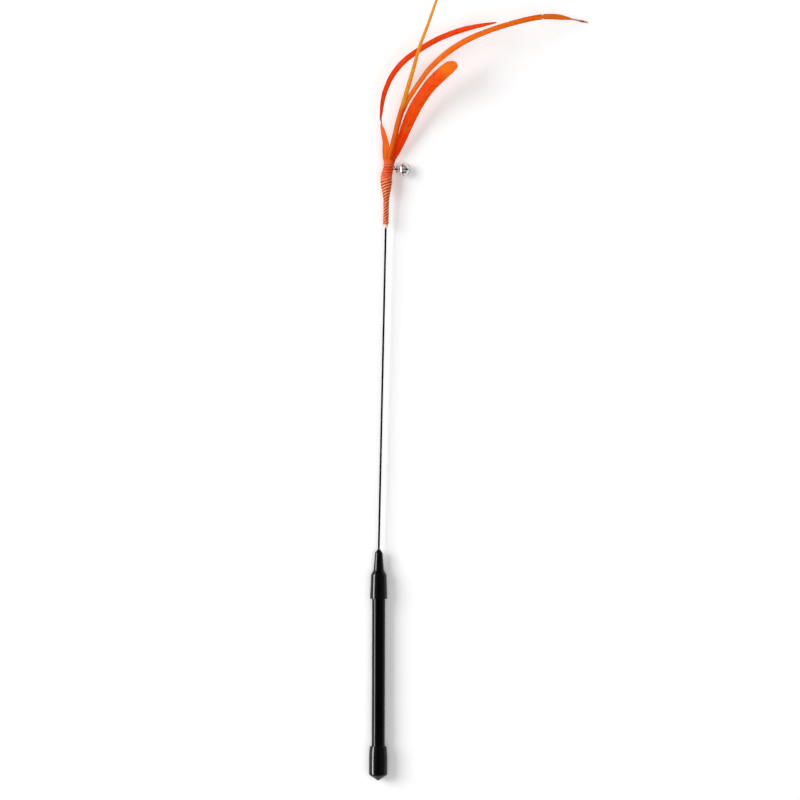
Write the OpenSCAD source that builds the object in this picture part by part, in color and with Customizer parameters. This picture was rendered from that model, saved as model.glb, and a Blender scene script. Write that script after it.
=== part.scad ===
// Cat teaser wand: a hollow handle with soft end pieces, a thin springy rod, and dyed feathers
// bound with thread to the rod's end, where a small jingle bell hangs from a ring.
// The wand lies along +Y with its feathers at the far end, and +Z is up.
// The origin is on the handle's axis, where the butt cap's straight barrel begins.

/* [Handle tube] */
// Outside diameter of the grip tube
tube_d = 10.5; // [9.5:0.1:12]
// Wall of the grip tube
tube_wall = 1.25; // [0.8:0.05:1.8]
// Length of tube that shows between the butt cap and the neck boot
grip_len = 117.2; // [60:0.2:240]

/* [Butt cap] */
// Thickness of the cap's wall around the tube, at the barrel
cap_wall = 2.1; // [1.4:0.05:3]
// Length of the cap's straight barrel
cap_barrel_len = 10; // [6:0.5:20]
// Length over which the cap draws in towards its mouth
cap_draw_len = 11.8; // [6:0.2:20]
// How much the radius draws in at the mouth
cap_draw = 0.7; // [0.2:0.05:1]
// Depth of the pointed end below the barrel
cap_nose_len = 5.66; // [4.5:0.02:8]
// Radius of the corner between barrel and pointed end
cap_corner_r = 2.2; // [1:0.1:3]
// Radius of the blunt point
cap_point_r = 1.6; // [0.8:0.1:2.2]
// Thickness of rubber between the tube's end and the point
cap_floor = 3.4; // [2.5:0.1:4]

/* [Neck boot] */
// Thickness of the boot's lip around the tube
boot_lip_wall = 1.65; // [1.2:0.05:2.5]
// How much the boot's body narrows from lip to shoulder
boot_body_draw = 0.65; // [0:0.05:0.8]
// Length of the boot's body
boot_body_len = 19.1; // [17:0.1:30]
// Length of the sloping shoulder
boot_shoulder_len = 3.9; // [2:0.1:8]
// Radius at the foot of the neck
boot_neck_r = 4.15; // [3.2:0.05:4.8]
// Length of the neck
boot_neck_len = 13.6; // [8:0.1:25]
// Radius at the top of the neck
boot_neck_top_r = 3.07; // [2.2:0.01:3.2]
// Length of the short cone at the boot's end
boot_nose_len = 2.6; // [1.5:0.1:5]
// Thickness of rubber left around the rod at the very end
boot_nose_wall = 0.35; // [0.2:0.05:0.8]
// Length of tube inside the boot
tube_in_boot = 14; // [8:0.5:16]

/* [Rod and plug] */
// Diameter of the rod
rod_d = 1.6; // [1.2:0.1:2]
// Length of rod between the boot and the binding
rod_free_len = 256; // [150:1:400]
// Radius of the slight set bend where the rod leaves the boot
bend_r = 250; // [150:10:400]
// Angle of the set bend
bend_angle = 1.235; // [0.5:0.005:3]
// How far the bend is rolled from level towards the sky
bend_roll = 29; // [0:1:60]
// Length of the plug inside the tube
plug_len = 18; // [8:0.5:30]
// Thickness of the plug's flange on the tube's end
plug_flange = 1.2; // [0.8:0.1:2]

/* [Binding] */
// Number of turns of thread
turns = 24; // [12:1:24]
// Width of the flattened thread along the binding
thread_w = 1.68; // [1.2:0.02:1.7]
// Thickness of the flattened thread
thread_t = 1.1; // [0.8:0.02:1.2]
// Pitch of the turns
turn_pitch = 1.908; // [1.9:0.002:2.2]
// Extra room between two turns where the bell's tie comes out
tie_room = 0.8; // [0.7:0.05:1.2]
// Turn on which the bell's tie comes out
tie_turn = 22; // [8:1:22]
// Outside radius of the slim part over the rod alone
slim_r = 2.27; // [2.2:0.01:2.8]
// Outside radius of the swelling over the quills' ends
bulge_r = 4.8; // [4.4:0.05:6]
// Outside radius at the feathers' end
crown_r = 4.2; // [4.1:0.05:5]
// Length of the slim part
slim_len = 20; // [12:0.5:24]
// Place of the swelling's middle
bulge_at = 39.6; // [30:0.2:42]
// Sideways lean of the swelling, and of the feathers' end
bulge_lean = -0.4; // [-0.8:0.05:0.4]
// Sideways lean of the binding at the feathers' end
crown_lean = 1.15; // [0:0.05:1.4]
// Radius of the bead of glue at the lower end
bead_r = 1.9; // [1.5:0.05:2.2]
// Length of the bead of glue
bead_len = 1.2; // [1:0.1:3]
// Radius of the glue between the quills at the feathers' end
crown_glue_r = 3.4; // [3.3:0.05:3.8]
// Thickness of the glue at the feathers' end
crown_glue_t = 1.1; // [1:0.1:2]
// Length of rod inside the binding
rod_in_core = 36; // [20:1:38]
// Length of quill inside the binding
quill_in_core = 14; // [8:0.5:15]

/* [Feathers] */
// Length of the feather that arches over from the left
arch_len = 162; // [100:1:220]
// Width of the arching feather
arch_w = 4.4; // [2:0.1:6]
// Length of the straight, thin feather
spike_len = 153; // [100:1:200]
// Width of the straight feather
spike_w = 3.4; // [2:0.1:5]
// Length of the longest feather, whose tip comes down to the floor
sweep_len = 227; // [180:1:260]
// Width of the longest feather
sweep_w = 4.4; // [2:0.1:6]
// Length of the broad feather
plume_len = 95; // [70:1:120]
// Width of the broad feather
plume_w = 10.9; // [6:0.1:14]
// Radius of a quill inside the binding
quill_r = 0.55; // [0.4:0.01:0.6]
// Thickness of a vane at its edges
vane_edge_t = 0.3; // [0.2:0.02:0.5]

/* [Bell] */
// Diameter of the bell
bell_d = 10; // [9:0.1:11]
// Thickness of the bell's metal
bell_t = 0.35; // [0.25:0.01:0.5]
// Radius of the rolled seam
seam_r = 0.3; // [0.2:0.01:0.4]
// Width of the slots
slot_w = 1.1; // [0.8:0.05:1.4]
// Diameter of the round hole at each slot's end
slot_end_d = 1.9; // [1.5:0.05:2.2]
// Angle of those holes from the bell's pole
slot_spread = 48; // [35:1:55]
// Diameter of the pea
pea_d = 3; // [2.5:0.1:3.5]
// Radius of the eye, to the middle of its wire
eye_r = 1.25; // [1.15:0.01:1.4]
// Diameter of the eye's wire
eye_wire_d = 0.8; // [0.6:0.02:0.9]
// Radius of the jump ring, to the middle of its wire
ring_r = 3; // [2.8:0.05:3.4]
// Diameter of the jump ring's wire
ring_wire_d = 0.7; // [0.5:0.02:0.8]
// Diameter of the tie's thread
tie_d = 0.75; // [0.5:0.01:0.8]
// Distance from the rod's axis to the ring where it hangs in the tie
tie_reach = 7.85; // [7.4:0.05:9]

/* [Hidden] */
$fn = 48;

// Clearance of a snug fit between two pieces that do not move
snug = 0.04;
// Running clearance round the pea
pea_play = 0.25;
// How far a cutting shape runs past what it cuts
over = 1;
// A hair's width that keeps two faces apart, and how much the rod swells where it is bent
hair = 0.02;
bend_swell = 0.01;

// Handle: every place along it follows from the lengths above
tube_r = tube_d / 2;
tube_in_r = tube_r - tube_wall;
rod_r = rod_d / 2;
cap_r = tube_r + snug + cap_wall;
cap_mouth_r = cap_r - cap_draw;
cap_mouth_y = cap_barrel_len + cap_draw_len;
cap_rim_r = (cap_wall - cap_draw) * 0.45;
tube_butt_y = cap_floor - cap_nose_len;
boot_y = cap_mouth_y + grip_len;
boot_lip_r = tube_r + boot_lip_wall;
boot_top_r = boot_lip_r - boot_body_draw;
boot_shoulder_y = boot_body_len + boot_shoulder_len;
boot_neck_y = boot_shoulder_y + boot_neck_len;
boot_len = boot_neck_y + boot_nose_len;
boot_tip_y = boot_y + boot_len;
boot_round_r = boot_shoulder_len * 0.4;
boot_hollow_r = boot_shoulder_len * 0.3;
tube_top_y = boot_y + tube_in_boot;
plug_chamfer = tube_wall * 0.5;
rod_butt_y = tube_top_y - plug_len;

// Binding: a swelling that follows two smooth steps, and the leads at the thread's ends
binding_lead_r = thread_w * 0.6;
loops_from = bead_len + thread_w + binding_lead_r;
loops_rise = turn_pitch * turns + tie_room;
core_len = loops_from + loops_rise + binding_lead_r + thread_w + crown_glue_t;
crown_at = core_len - crown_glue_t - thread_w;
glue_under_crown = core_len - crown_glue_t;
rings_a_turn = 24;
thread_sides = 6;
lead_rings = 6;
core_sides = 24;
core_steps = 22;

// Feathers: where each quill sits beside the binding's axis, sideways and up
arch_seat = [-0.5, 0.9];
spike_seat = [0.9, 1.6];
sweep_seat = [2.3, 0.6];
plume_seat = [1.5, -1.6];
quill_clear = 0.08;
// Shares of a shaft's radius at the sides of its back, and of its taper towards the tip
quill_side_share = 0.6;
quill_taper_share = 0.7;
quill_bore_r = quill_r * norm([1, quill_side_share]) + snug;

// Routes from the binding's top, as shares of each feather's own length, chosen by eye:
// sideways, along the rod, and up
arch_route_shares = [[-0.013, 0.089, 0.015], [-0.029, 0.167, 0.035], [-0.033, 0.234, 0.045],
    [-0.021, 0.321, 0.055], [0.014, 0.409, 0.06], [0.072, 0.484, 0.07], [0.15, 0.543, 0.075],
    [0.246, 0.6, 0.08], [0.372, 0.648, 0.09], [0.52, 0.682, 0.095]];
spike_route_shares = [[0.03, 0.105, 0.04], [0.053, 0.208, 0.06], [0.082, 0.311, 0.08],
    [0.105, 0.393, 0.1], [0.128, 0.48, 0.12], [0.157, 0.588, 0.145], [0.197, 0.702, 0.165],
    [0.24, 0.833, 0.185], [0.281, 0.954, 0.205]];
sweep_route_shares = [[0.021, 0.05, 0.005], [0.039, 0.137, 0.028], [0.058, 0.191, 0.042],
    [0.085, 0.238, 0.06], [0.112, 0.278, 0.077], [0.143, 0.32, 0.093], [0.186, 0.362, 0.107],
    [0.232, 0.397, 0.114], [0.287, 0.429, 0.117], [0.359, 0.46, 0.11], [0.435, 0.486, 0.093],
    [0.508, 0.506, 0.067], [0.565, 0.513, 0.04], [0.622, 0.51, 0.01], [0.694, 0.5, -0.039]];
plume_route_shares = [[0.079, 0.073, -0.015], [0.121, 0.181, 0.012], [0.163, 0.298, 0.045],
    [0.217, 0.421, 0.083], [0.278, 0.529, 0.125], [0.352, 0.632, 0.17], [0.433, 0.715, 0.211],
    [0.502, 0.773, 0.24], [0.566, 0.804, 0.258]];

// Widths as shares of the vane's full width, against the share of the way along
arch_width_shares = [[0, 0.35], [0.04, 0.75], [0.1, 1.15], [0.15, 1.1], [0.2, 0.95], [0.3, 0.87],
    [0.4, 0.95], [0.6, 1.05], [0.9, 1], [0.95, 0.65], [1, 0.15]];
spike_width_shares = [[0, 0.3], [0.12, 0.8], [0.3, 1], [0.45, 1], [0.56, 0.85], [0.7, 0.7],
    [0.85, 0.6], [1, 0.4]];
sweep_width_shares = [[0, 0.3], [0.1, 0.75], [0.3, 0.85], [0.4, 0.95], [0.5, 1.1], [0.6, 1.03],
    [0.67, 0.95], [0.87, 1], [0.91, 0.93], [0.935, 0.5], [0.95, 0.14], [0.965, 0.12], [0.98, 0.38],
    [1, 0.24]];
plume_width_shares = [[0, 0.1], [0.05, 0.34], [0.11, 0.46], [0.22, 0.69], [0.33, 0.83], [0.44, 0.91],
    [0.61, 0.9], [0.72, 1], [0.89, 0.94], [0.94, 0.74], [0.97, 0.52], [1, 0.2]];
// Roll of each vane about its own shaft, in degrees, against the share of the way along
arch_rolls = [[0, 170], [0.1, 165], [0.15, 150], [0.2, 125], [0.25, 92], [0.3, 60], [0.35, 45],
    [0.4, 25], [0.6, 8], [1, 0]];
spike_rolls = [[0, 20], [0.4, 10], [1, 0]];
sweep_rolls = [[0, 15], [0.5, 0], [0.9, 5], [1, 30]];
plume_rolls = [[0, 25], [0.3, 8], [1, 0]];

// Bell: it hangs in the tie from the ring and rests on the floor the wand lies on
bell_r = bell_d / 2;
bell_in_r = bell_r - bell_t;
pea_r = pea_d / 2;
eye_wire_r = eye_wire_d / 2;
ring_wire_r = ring_wire_d / 2;
tie_r = tie_d / 2;
tie_bend_r = ring_wire_r + snug + tie_r;
eye_reach = bell_r + eye_r - eye_wire_r * 0.75;
pea_drop = bell_in_r - pea_play - pea_r;
ring_split = ring_wire_d * 0.15;
tie_y = loops_from + turn_pitch * tie_turn + (turn_pitch + tie_room) / 2;
floor_slope = (cap_r - boot_lip_r) / (boot_y - cap_barrel_len / 2);
ring_top = row_point([tie_reach, tie_y, 0]);
eye_at = ring_top - [0, 0, 2 * ring_r];
floor_z = floor_slope * (ring_top[1] - cap_barrel_len / 2) - cap_r;
bell_pitch = asin((floor_z + bell_r - eye_at[2]) / eye_reach);
bell_at = eye_at + eye_reach * [cos(bell_pitch), 0, sin(bell_pitch)];

// A smooth step from 0 to 1 as t goes from 0 to 1
function smooth(t) = let (u = min(1, max(0, t))) u * u * (3 - 2 * u);

// How far the swelling, and then the crown, has come on at a place along the binding
function swell(y) = smooth((y - slim_len) / (bulge_at - slim_len));
function crown(y) = smooth((y - bulge_at) / (crown_at - bulge_at));

// Outside radius of the binding, and its sideways lean
function bind_r(y) = slim_r + (bulge_r - slim_r) * swell(y) - (bulge_r - crown_r) * crown(y);
function lean(y) = bulge_lean * swell(y) + (crown_lean - bulge_lean) * crown(y);

// Radius of the glue under the thread
function core_r(y) = bind_r(y) - thread_t - snug;

// The same turning as at_rod_end(), for a point beside the rod's end
function turn_y(p, a) = [p[0] * cos(a) + p[2] * sin(a), p[1], p[2] * cos(a) - p[0] * sin(a)];
function turn_z(p, a) = [p[0] * cos(a) - p[1] * sin(a), p[0] * sin(a) + p[1] * cos(a), p[2]];
function bend_end() = [bend_r * (1 - cos(bend_angle)), boot_tip_y + bend_r * sin(bend_angle), 0];
function rod_run() = rod_free_len - bend_r * bend_angle * PI / 180;
function row_point(p) = turn_y(bend_end() + turn_z(turn_y(p + [0, rod_run(), 0], bend_roll),
    -bend_angle), -bend_roll);

// Faces of a tube of rings that turn anticlockwise about the way along it, with flat ends
function tube_faces(count, sides) = concat(
    [for (i = [0:count - 2], j = [0:sides - 1], half = [0, 1])
        let (a = i * sides + j, b = i * sides + (j + 1) % sides)
        half == 0 ? [a, a + sides, b + sides] : [a, b + sides, b]],
    [for (j = [1:sides - 2]) [0, j, j + 1]],
    [for (j = [1:sides - 2], last = (count - 1) * sides) [last, last + j + 1, last + j]]);

// A smooth curve through hand-chosen points: t counts the points passed
function route_at(pts, t) = let (
    n = len(pts) - 1,
    i = min(n - 1, floor(t)),
    u = t - i,
    p0 = pts[max(0, i - 1)],
    p1 = pts[i],
    p2 = pts[i + 1],
    p3 = pts[min(n, i + 2)])
    (2 * p1 + (p2 - p0) * u + (2 * p0 - 5 * p1 + 4 * p2 - p3) * u * u
    + (3 * p1 - p0 - 3 * p2 + p3) * u * u * u) / 2;

function unit(v) = v / norm(v);

// One ring of a feather: a shaft with a thin vane on each side, a little hollow below
function vane_ring(at, along, roll, half_w, shaft_r) = let (
    flat_side = unit(cross([0, 0, 1], along)),
    flat_up = cross(along, flat_side),
    side = flat_side * cos(roll) + flat_up * sin(roll),
    up = flat_up * cos(roll) - flat_side * sin(roll),
    w = max(half_w, shaft_r),
    edge = min(vane_edge_t, shaft_r) / 2,
    hollow = (w - shaft_r) * 0.12)
    [for (q = [[w, edge - hollow], [shaft_r, shaft_r * quill_side_share], [0, shaft_r],
        [-shaft_r, shaft_r * quill_side_share],
        [-w, edge - hollow], [-w, -edge - hollow], [0, -shaft_r], [w, -edge - hollow]])
        at + side * q[0] + up * q[1]];

// A whole feather, from its quill's end inside the glue to its tip
module feather(seat, length, width, route, widths, rolls, steps) {
    quill = [[seat[0], -quill_in_core + quill_clear, seat[1]], [seat[0], 0, seat[1]]];
    pts = concat([quill[1]], route * length);
    last = len(pts) - 1;
    step = last / steps;
    near = step / 4;
    rings = [for (k = [-1:steps]) let (
        t = max(0, k) * step,
        s = t / last,
        at = k < 0 ? quill[0] : route_at(pts, t),
        ahead = k < 1 ? [0, 1, 0] : unit(route_at(pts, min(last, t + near)) - route_at(pts, t - near)))
        vane_ring(at, ahead, lookup(s, rolls), k < 1 ? 0 : width / 2 * lookup(s, widths),
            quill_r * (1 - quill_taper_share * s))];
    translate([0, core_len, 0])
        polyhedron([for (ring = rings) each ring], tube_faces(steps + 2, 8), convexity = 8);
}

// The thread's course: [place along, turn angle, heading], from lead to turns to lead
function loop_y(n) = loops_from + turn_pitch * n + tie_room * smooth(n - tie_turn);
function loop_heading(y) = atan(turn_pitch / (2 * PI * (bind_r(y) - thread_t / 2)));
function lead(y0, n0, way) = let (
    radius = bind_r(y0) - thread_t / 2,
    h0 = loop_heading(y0))
    [for (k = [1:lead_rings + 1]) let (
        h = h0 + (90 - h0) * min(1, k / lead_rings),
        run = k > lead_rings ? thread_w : 0)
        [y0 + way * (binding_lead_r * (cos(h0) - cos(h)) + run),
            -360 * n0 - way * binding_lead_r * (sin(h) - sin(h0)) / radius * 180 / PI, h]];
thread_course = let (
    foot = lead(loop_y(0), 0, -1),
    head = lead(loop_y(turns), turns, 1))
    concat([for (k = [lead_rings:-1:0]) foot[k]],
        [for (i = [0:turns * rings_a_turn]) let (n = i / rings_a_turn, y = loop_y(n))
            [y, -360 * n, loop_heading(y)]],
        head);

// One ring of the thread, flattened against the glue
function thread_ring(c) = let (
    out = [cos(c[1]), 0, sin(c[1])],
    round = [sin(c[1]), 0, -cos(c[1])],
    across = round * -sin(c[2]) + [0, cos(c[2]), 0],
    at = [lean(c[0]), c[0], 0] + out * (bind_r(c[0]) - thread_t / 2))
    [for (k = [0:thread_sides - 1]) let (a = 360 * k / thread_sides)
        at + out * (thread_t / 2 * cos(a)) - across * (thread_w / 2 * sin(a))];
thread_rings = [for (c = thread_course) thread_ring(c)];

// The least gap between two stretches of the thread that lie half a turn or more apart
thread_gap = min([for (i = [0:len(thread_course) - 1], j = [i + rings_a_turn / 2:len(thread_course) - 1])
    if (abs(thread_course[i][0] - thread_course[j][0]) < 2 * turn_pitch
        && norm(thread_rings[i][0] - thread_rings[j][0]) < 2 * turn_pitch)
    min([for (p = thread_rings[i], q = thread_rings[j]) norm(p - q)])]);
echo(thread_gap = thread_gap);
echo(ring_top = ring_top, eye_at = eye_at, bell_at = bell_at, bell_pitch = bell_pitch);
echo(tip = row_point([0, core_len, 0] + sweep_len * sweep_route_shares[len(sweep_route_shares) - 1]));
echo(core_len = core_len, floor_slope = floor_slope);

// Turns what is drawn along Z to lie along Y
module along_y() rotate([-90, 0, 0]) children();

// Moves what is drawn beside the origin to the lower end of the binding, on the bent rod
module at_rod_end()
    rotate([0, -bend_roll, 0]) translate(bend_end()) rotate([0, 0, -bend_angle])
        rotate([0, bend_roll, 0]) translate([0, rod_run(), 0]) children();

// A ring of round wire in the XZ plane
module wire_ring(middle_r, wire_r)
    along_y() rotate_extrude() translate([middle_r, 0]) circle(wire_r);

// Hollow grip tube
module grip_tube() {
    color("#16171a")
        translate([0, tube_butt_y, 0]) along_y() difference() {
            cylinder(h = tube_top_y - tube_butt_y, r = tube_r);
            translate([0, 0, -over]) cylinder(h = tube_top_y - tube_butt_y + 2 * over, r = tube_in_r);
        }
}

// Half the cap's outline: blunt point, cone, corner and barrel, all tangent
module cap_end_outline() {
    corner = [cap_r - cap_corner_r, 0];
    point = [0, cap_point_r - cap_nose_len];
    tilt = atan2(corner[1] - point[1], corner[0] - point[0])
        - acos((cap_point_r - cap_corner_r) / norm(corner - point));
    away = [cos(tilt), sin(tilt)];
    intersection() {
        union() {
            translate(corner) circle(cap_corner_r);
            translate(point) circle(cap_point_r);
            polygon([point, point + cap_point_r * away, corner + cap_corner_r * away,
                corner + [cap_corner_r, 0], [0, 0]]);
        }
        translate([0, -cap_nose_len - over]) square([cap_r + over, cap_nose_len + over]);
    }
}

// Soft butt cap: straight barrel, a drawn-in mouth with a rounded rim, and a pointed end
module butt_cap() {
    draw_r = (cap_draw_len * cap_draw_len + cap_draw * cap_draw) / (2 * cap_draw);
    color("#1b1b1d") along_y() difference() {
        rotate_extrude() {
            cap_end_outline();
            square([cap_r, cap_barrel_len]);
            difference() {
                intersection() {
                    translate([0, cap_barrel_len]) square([cap_r, cap_draw_len]);
                    translate([cap_r - draw_r, cap_barrel_len]) circle(draw_r, $fn = 360);
                }
                translate([cap_mouth_r - cap_rim_r, cap_mouth_y - cap_rim_r]) difference() {
                    square(cap_rim_r + over);
                    circle(cap_rim_r);
                }
            }
        }
        translate([0, 0, tube_butt_y]) cylinder(h = cap_mouth_y - tube_butt_y + over, r = tube_r + snug);
    }
}

// Soft boot over the tube's top end, drawn in to a neck that holds the rod upright
module neck_boot() {
    socket_len = tube_in_boot + plug_flange + snug;
    outline = [[-boot_lip_r, -boot_len], [boot_lip_r, -boot_len], [boot_lip_r, 0],
        [boot_top_r, boot_body_len], [boot_neck_r, boot_shoulder_y],
        [boot_neck_top_r, boot_neck_y], [0, boot_neck_y], [-boot_lip_r, boot_neck_y]];
    color("#1b1b1d") translate([0, boot_y, 0]) along_y() rotate_extrude() difference() {
        intersection() {
            offset(r = -boot_hollow_r) offset(r = boot_hollow_r + boot_round_r)
                offset(delta = -boot_round_r) polygon(outline);
            square([boot_lip_r, boot_neck_y - boot_round_r]);
        }
        translate([0, -over]) square([tube_r + snug, socket_len + over]);
        square([rod_r + snug, boot_len]);
    }
    color("#1b1b1d") translate([0, boot_y + boot_neck_y - boot_round_r, 0]) along_y() rotate_extrude()
        polygon([[rod_r + snug, 0], [boot_neck_top_r + boot_round_r * 0.08, 0],
            [boot_neck_top_r, boot_round_r],
            [rod_r + snug + boot_nose_wall, boot_round_r + boot_nose_len],
            [rod_r + snug, boot_round_r + boot_nose_len]]);
}

// Plug that fills the tube's end and grips the rod, with a flange on the tube's end
module rod_plug() {
    color("#2b2c30") translate([0, rod_butt_y, 0]) along_y() rotate_extrude()
        polygon([[rod_r + snug, 0], [tube_in_r - snug - plug_chamfer, 0], [tube_in_r - snug, plug_chamfer],
            [tube_in_r - snug, plug_len], [tube_r, plug_len], [tube_r, plug_len + plug_flange],
            [rod_r + snug, plug_len + plug_flange]]);
}

// Rod: straight in the handle, a slight set bend at the boot, then straight into the binding
module rod() {
    color("#101113") rotate([0, -bend_roll, 0]) {
        translate([0, rod_butt_y, 0]) along_y() cylinder(h = boot_tip_y + hair - rod_butt_y, r = rod_r);
        translate([bend_r, boot_tip_y, 0]) rotate([0, 0, 180 - bend_angle])
            rotate_extrude(angle = bend_angle, $fn = 360) translate([bend_r, 0])
                circle(rod_r + bend_swell, $fn = 48);
        translate(bend_end()) rotate([0, 0, -bend_angle]) translate([0, -hair, 0]) along_y()
            cylinder(h = hair + rod_run() + rod_in_core, r = rod_r);
    }
}

// Glue round the rod's end and the quills: a bead below, a swelling body, and a crown above
module glue_core() {
    from = bead_len * 0.5;
    to = glue_under_crown + crown_glue_t * 0.5;
    bead_cone_len = bead_len * 0.7;
    body_rings = [for (k = [0:core_steps]) let (y = from + (to - from) * k / core_steps)
        [for (j = [0:core_sides - 1]) let (a = -360 * j / core_sides)
            [lean(y) + core_r(y) * cos(a), y, core_r(y) * sin(a)]]];
    color("#e9dcc6") at_rod_end() difference() {
        union() {
            polyhedron([for (ring = body_rings) each ring], tube_faces(core_steps + 1, core_sides),
                convexity = 6);
            along_y() cylinder(h = bead_cone_len, r1 = rod_r + 2 * snug, r2 = bead_r);
            translate([0, bead_cone_len, 0]) along_y() cylinder(h = bead_len - bead_cone_len, r = bead_r);
            translate([lean(core_len), glue_under_crown, 0]) along_y()
                cylinder(h = crown_glue_t, r = crown_glue_r);
        }
        translate([0, -over, 0]) along_y() cylinder(h = rod_in_core + over + snug, r = rod_r + snug);
        for (seat = [arch_seat, spike_seat, sweep_seat, plume_seat])
            translate([seat[0], core_len - quill_in_core, seat[1]]) along_y()
                cylinder(h = quill_in_core + over, r = quill_bore_r, $fn = 24);
    }
}

// Thread wound round the glue in one unbroken length
module binding_thread() {
    color("#f4622a") at_rod_end()
        polyhedron([for (ring = thread_rings) each ring], tube_faces(len(thread_rings), thread_sides),
            convexity = 20);
}

// Narrow feather that arches over from the left, turned over near its foot
module feather_arching() {
    color("#f55a14") at_rod_end()
        feather(arch_seat, arch_len, arch_w, arch_route_shares, arch_width_shares, arch_rolls, 44);
}

// Straight, thin feather that stands above the others
module feather_spike() {
    color("#f08a2c") at_rod_end()
        feather(spike_seat, spike_len, spike_w, spike_route_shares, spike_width_shares, spike_rolls, 28);
}

// Longest feather, which sweeps over to the right and touches the floor
module feather_sweeping() {
    color("#f7741c") at_rod_end()
        feather(sweep_seat, sweep_len, sweep_w, sweep_route_shares, sweep_width_shares, sweep_rolls, 60);
}

// Broad feather with a rounded end
module feather_plume() {
    color("#f24a12") at_rod_end()
        feather(plume_seat, plume_len, plume_w, plume_route_shares, plume_width_shares, plume_rolls, 36);
}

// Loop of thread that comes out between two turns and holds the ring
module bell_tie() {
    hoop = tie_bend_r + tie_d;
    color("#a32f1c") at_rod_end() translate([0, tie_y, 0]) difference() {
        union() {
            translate([tie_reach, 0, 0]) intersection() {
                wire_ring(tie_bend_r, tie_r);
                translate([0, -tie_d, -hoop]) cube([hoop, 2 * tie_d, 2 * hoop]);
            }
            for (way = [-1, 1]) translate([lean(tie_y), 0, way * tie_bend_r]) rotate([0, 90, 0])
                cylinder(h = tie_reach + hair - lean(tie_y), r = tie_r - hair);
        }
        translate([lean(tie_y), -over, 0]) along_y() cylinder(h = 2 * over, r = core_r(tie_y) + snug);
    }
}

// Jump ring, hanging upright in the tie, with its ends closed to a hairline
module jump_ring() {
    color("#c9cbd0") translate(ring_top - [0, 0, ring_r]) rotate([0, 0, 90]) difference() {
        wire_ring(ring_r, ring_wire_r);
        translate([0, -ring_wire_d, -ring_split / 2])
            cube([ring_r + ring_wire_d, 2 * ring_wire_d, ring_split]);
    }
}

// Stands the bell's own frame, with its eye on +Z, where the bell hangs
module at_bell() translate(bell_at) rotate([0, -90 - bell_pitch, 0]) children();

// Half of the bell's round wall: the half above or below the seam
module bell_wall(way)
    rotate_extrude() intersection() {
        difference() {
            circle(bell_r);
            circle(bell_in_r);
        }
        translate([0, way > 0 ? 0 : -bell_r]) square(bell_r);
    }

// Upper half of the bell, which carries the eye
module bell_dome() {
    color("#d4d6da") at_bell() bell_wall(1);
}

// Lower half of the bell, with the rolled seam and the crossed slots
module bell_cup() {
    color("#d4d6da") at_bell() difference() {
        union() {
            bell_wall(-1);
            translate([0, 0, -seam_r]) rotate_extrude() translate([bell_r - bell_t / 2, 0]) circle(seam_r);
        }
        sphere(bell_in_r - hair);
        for (turn = [0, 90]) rotate([0, 0, turn]) {
            slot_reach = bell_r * sin(slot_spread);
            translate([-slot_reach, -slot_w / 2, -bell_r - over]) cube([2 * slot_reach, slot_w, bell_r]);
            for (way = [-1, 1]) rotate([0, 180 + way * slot_spread, 0])
                cylinder(h = bell_r + over, r = slot_end_d / 2);
        }
    }
}

// Wire eye standing on the dome
module bell_eye() {
    color("#c2c4c9") at_bell() difference() {
        translate([0, 0, eye_reach]) wire_ring(eye_r, eye_wire_r);
        sphere(bell_r + hair);
    }
}

// Pea that rattles in the bell, lying at its lowest point
module bell_pea() {
    color("#8f9298") translate(bell_at - [0, 0, pea_drop]) sphere(pea_r);
}

grip_tube();
butt_cap();
neck_boot();
rod_plug();
rod();
glue_core();
binding_thread();
feather_arching();
feather_spike();
feather_sweeping();
feather_plume();
bell_tie();
jump_ring();
bell_dome();
bell_cup();
bell_eye();
bell_pea();
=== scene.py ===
# %% [markdown]
# # A cat teaser wand
# A thin black wand has a soft-ended grip for the hand at one end. At the other end, four dyed
# feathers and a small jingle bell are bound on with orange thread. The solids come from the CAD
# model. This notebook gives each of them its finished shape, colour and surface.

# %% Load the fixed frame
import math
import random

import bpy
import numpy as np
from mathutils import Matrix, Vector


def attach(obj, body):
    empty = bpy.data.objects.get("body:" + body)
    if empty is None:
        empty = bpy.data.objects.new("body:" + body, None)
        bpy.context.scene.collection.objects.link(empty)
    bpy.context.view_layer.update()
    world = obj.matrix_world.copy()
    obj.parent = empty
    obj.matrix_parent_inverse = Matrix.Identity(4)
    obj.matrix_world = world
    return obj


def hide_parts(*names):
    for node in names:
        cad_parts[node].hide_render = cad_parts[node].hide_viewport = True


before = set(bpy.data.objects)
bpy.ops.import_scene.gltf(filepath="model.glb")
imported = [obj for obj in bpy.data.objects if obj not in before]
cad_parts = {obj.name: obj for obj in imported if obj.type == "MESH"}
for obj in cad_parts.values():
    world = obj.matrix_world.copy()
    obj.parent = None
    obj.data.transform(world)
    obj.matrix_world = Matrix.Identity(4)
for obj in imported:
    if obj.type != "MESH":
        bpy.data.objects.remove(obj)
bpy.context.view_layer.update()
print("solids:", sorted(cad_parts))

# %% [markdown]
# ## Sizes
# The real sizes are the CAD model's, in millimetres. They are named once here, and a factor turns
# them into Blender's metres where a piece is made.

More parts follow.
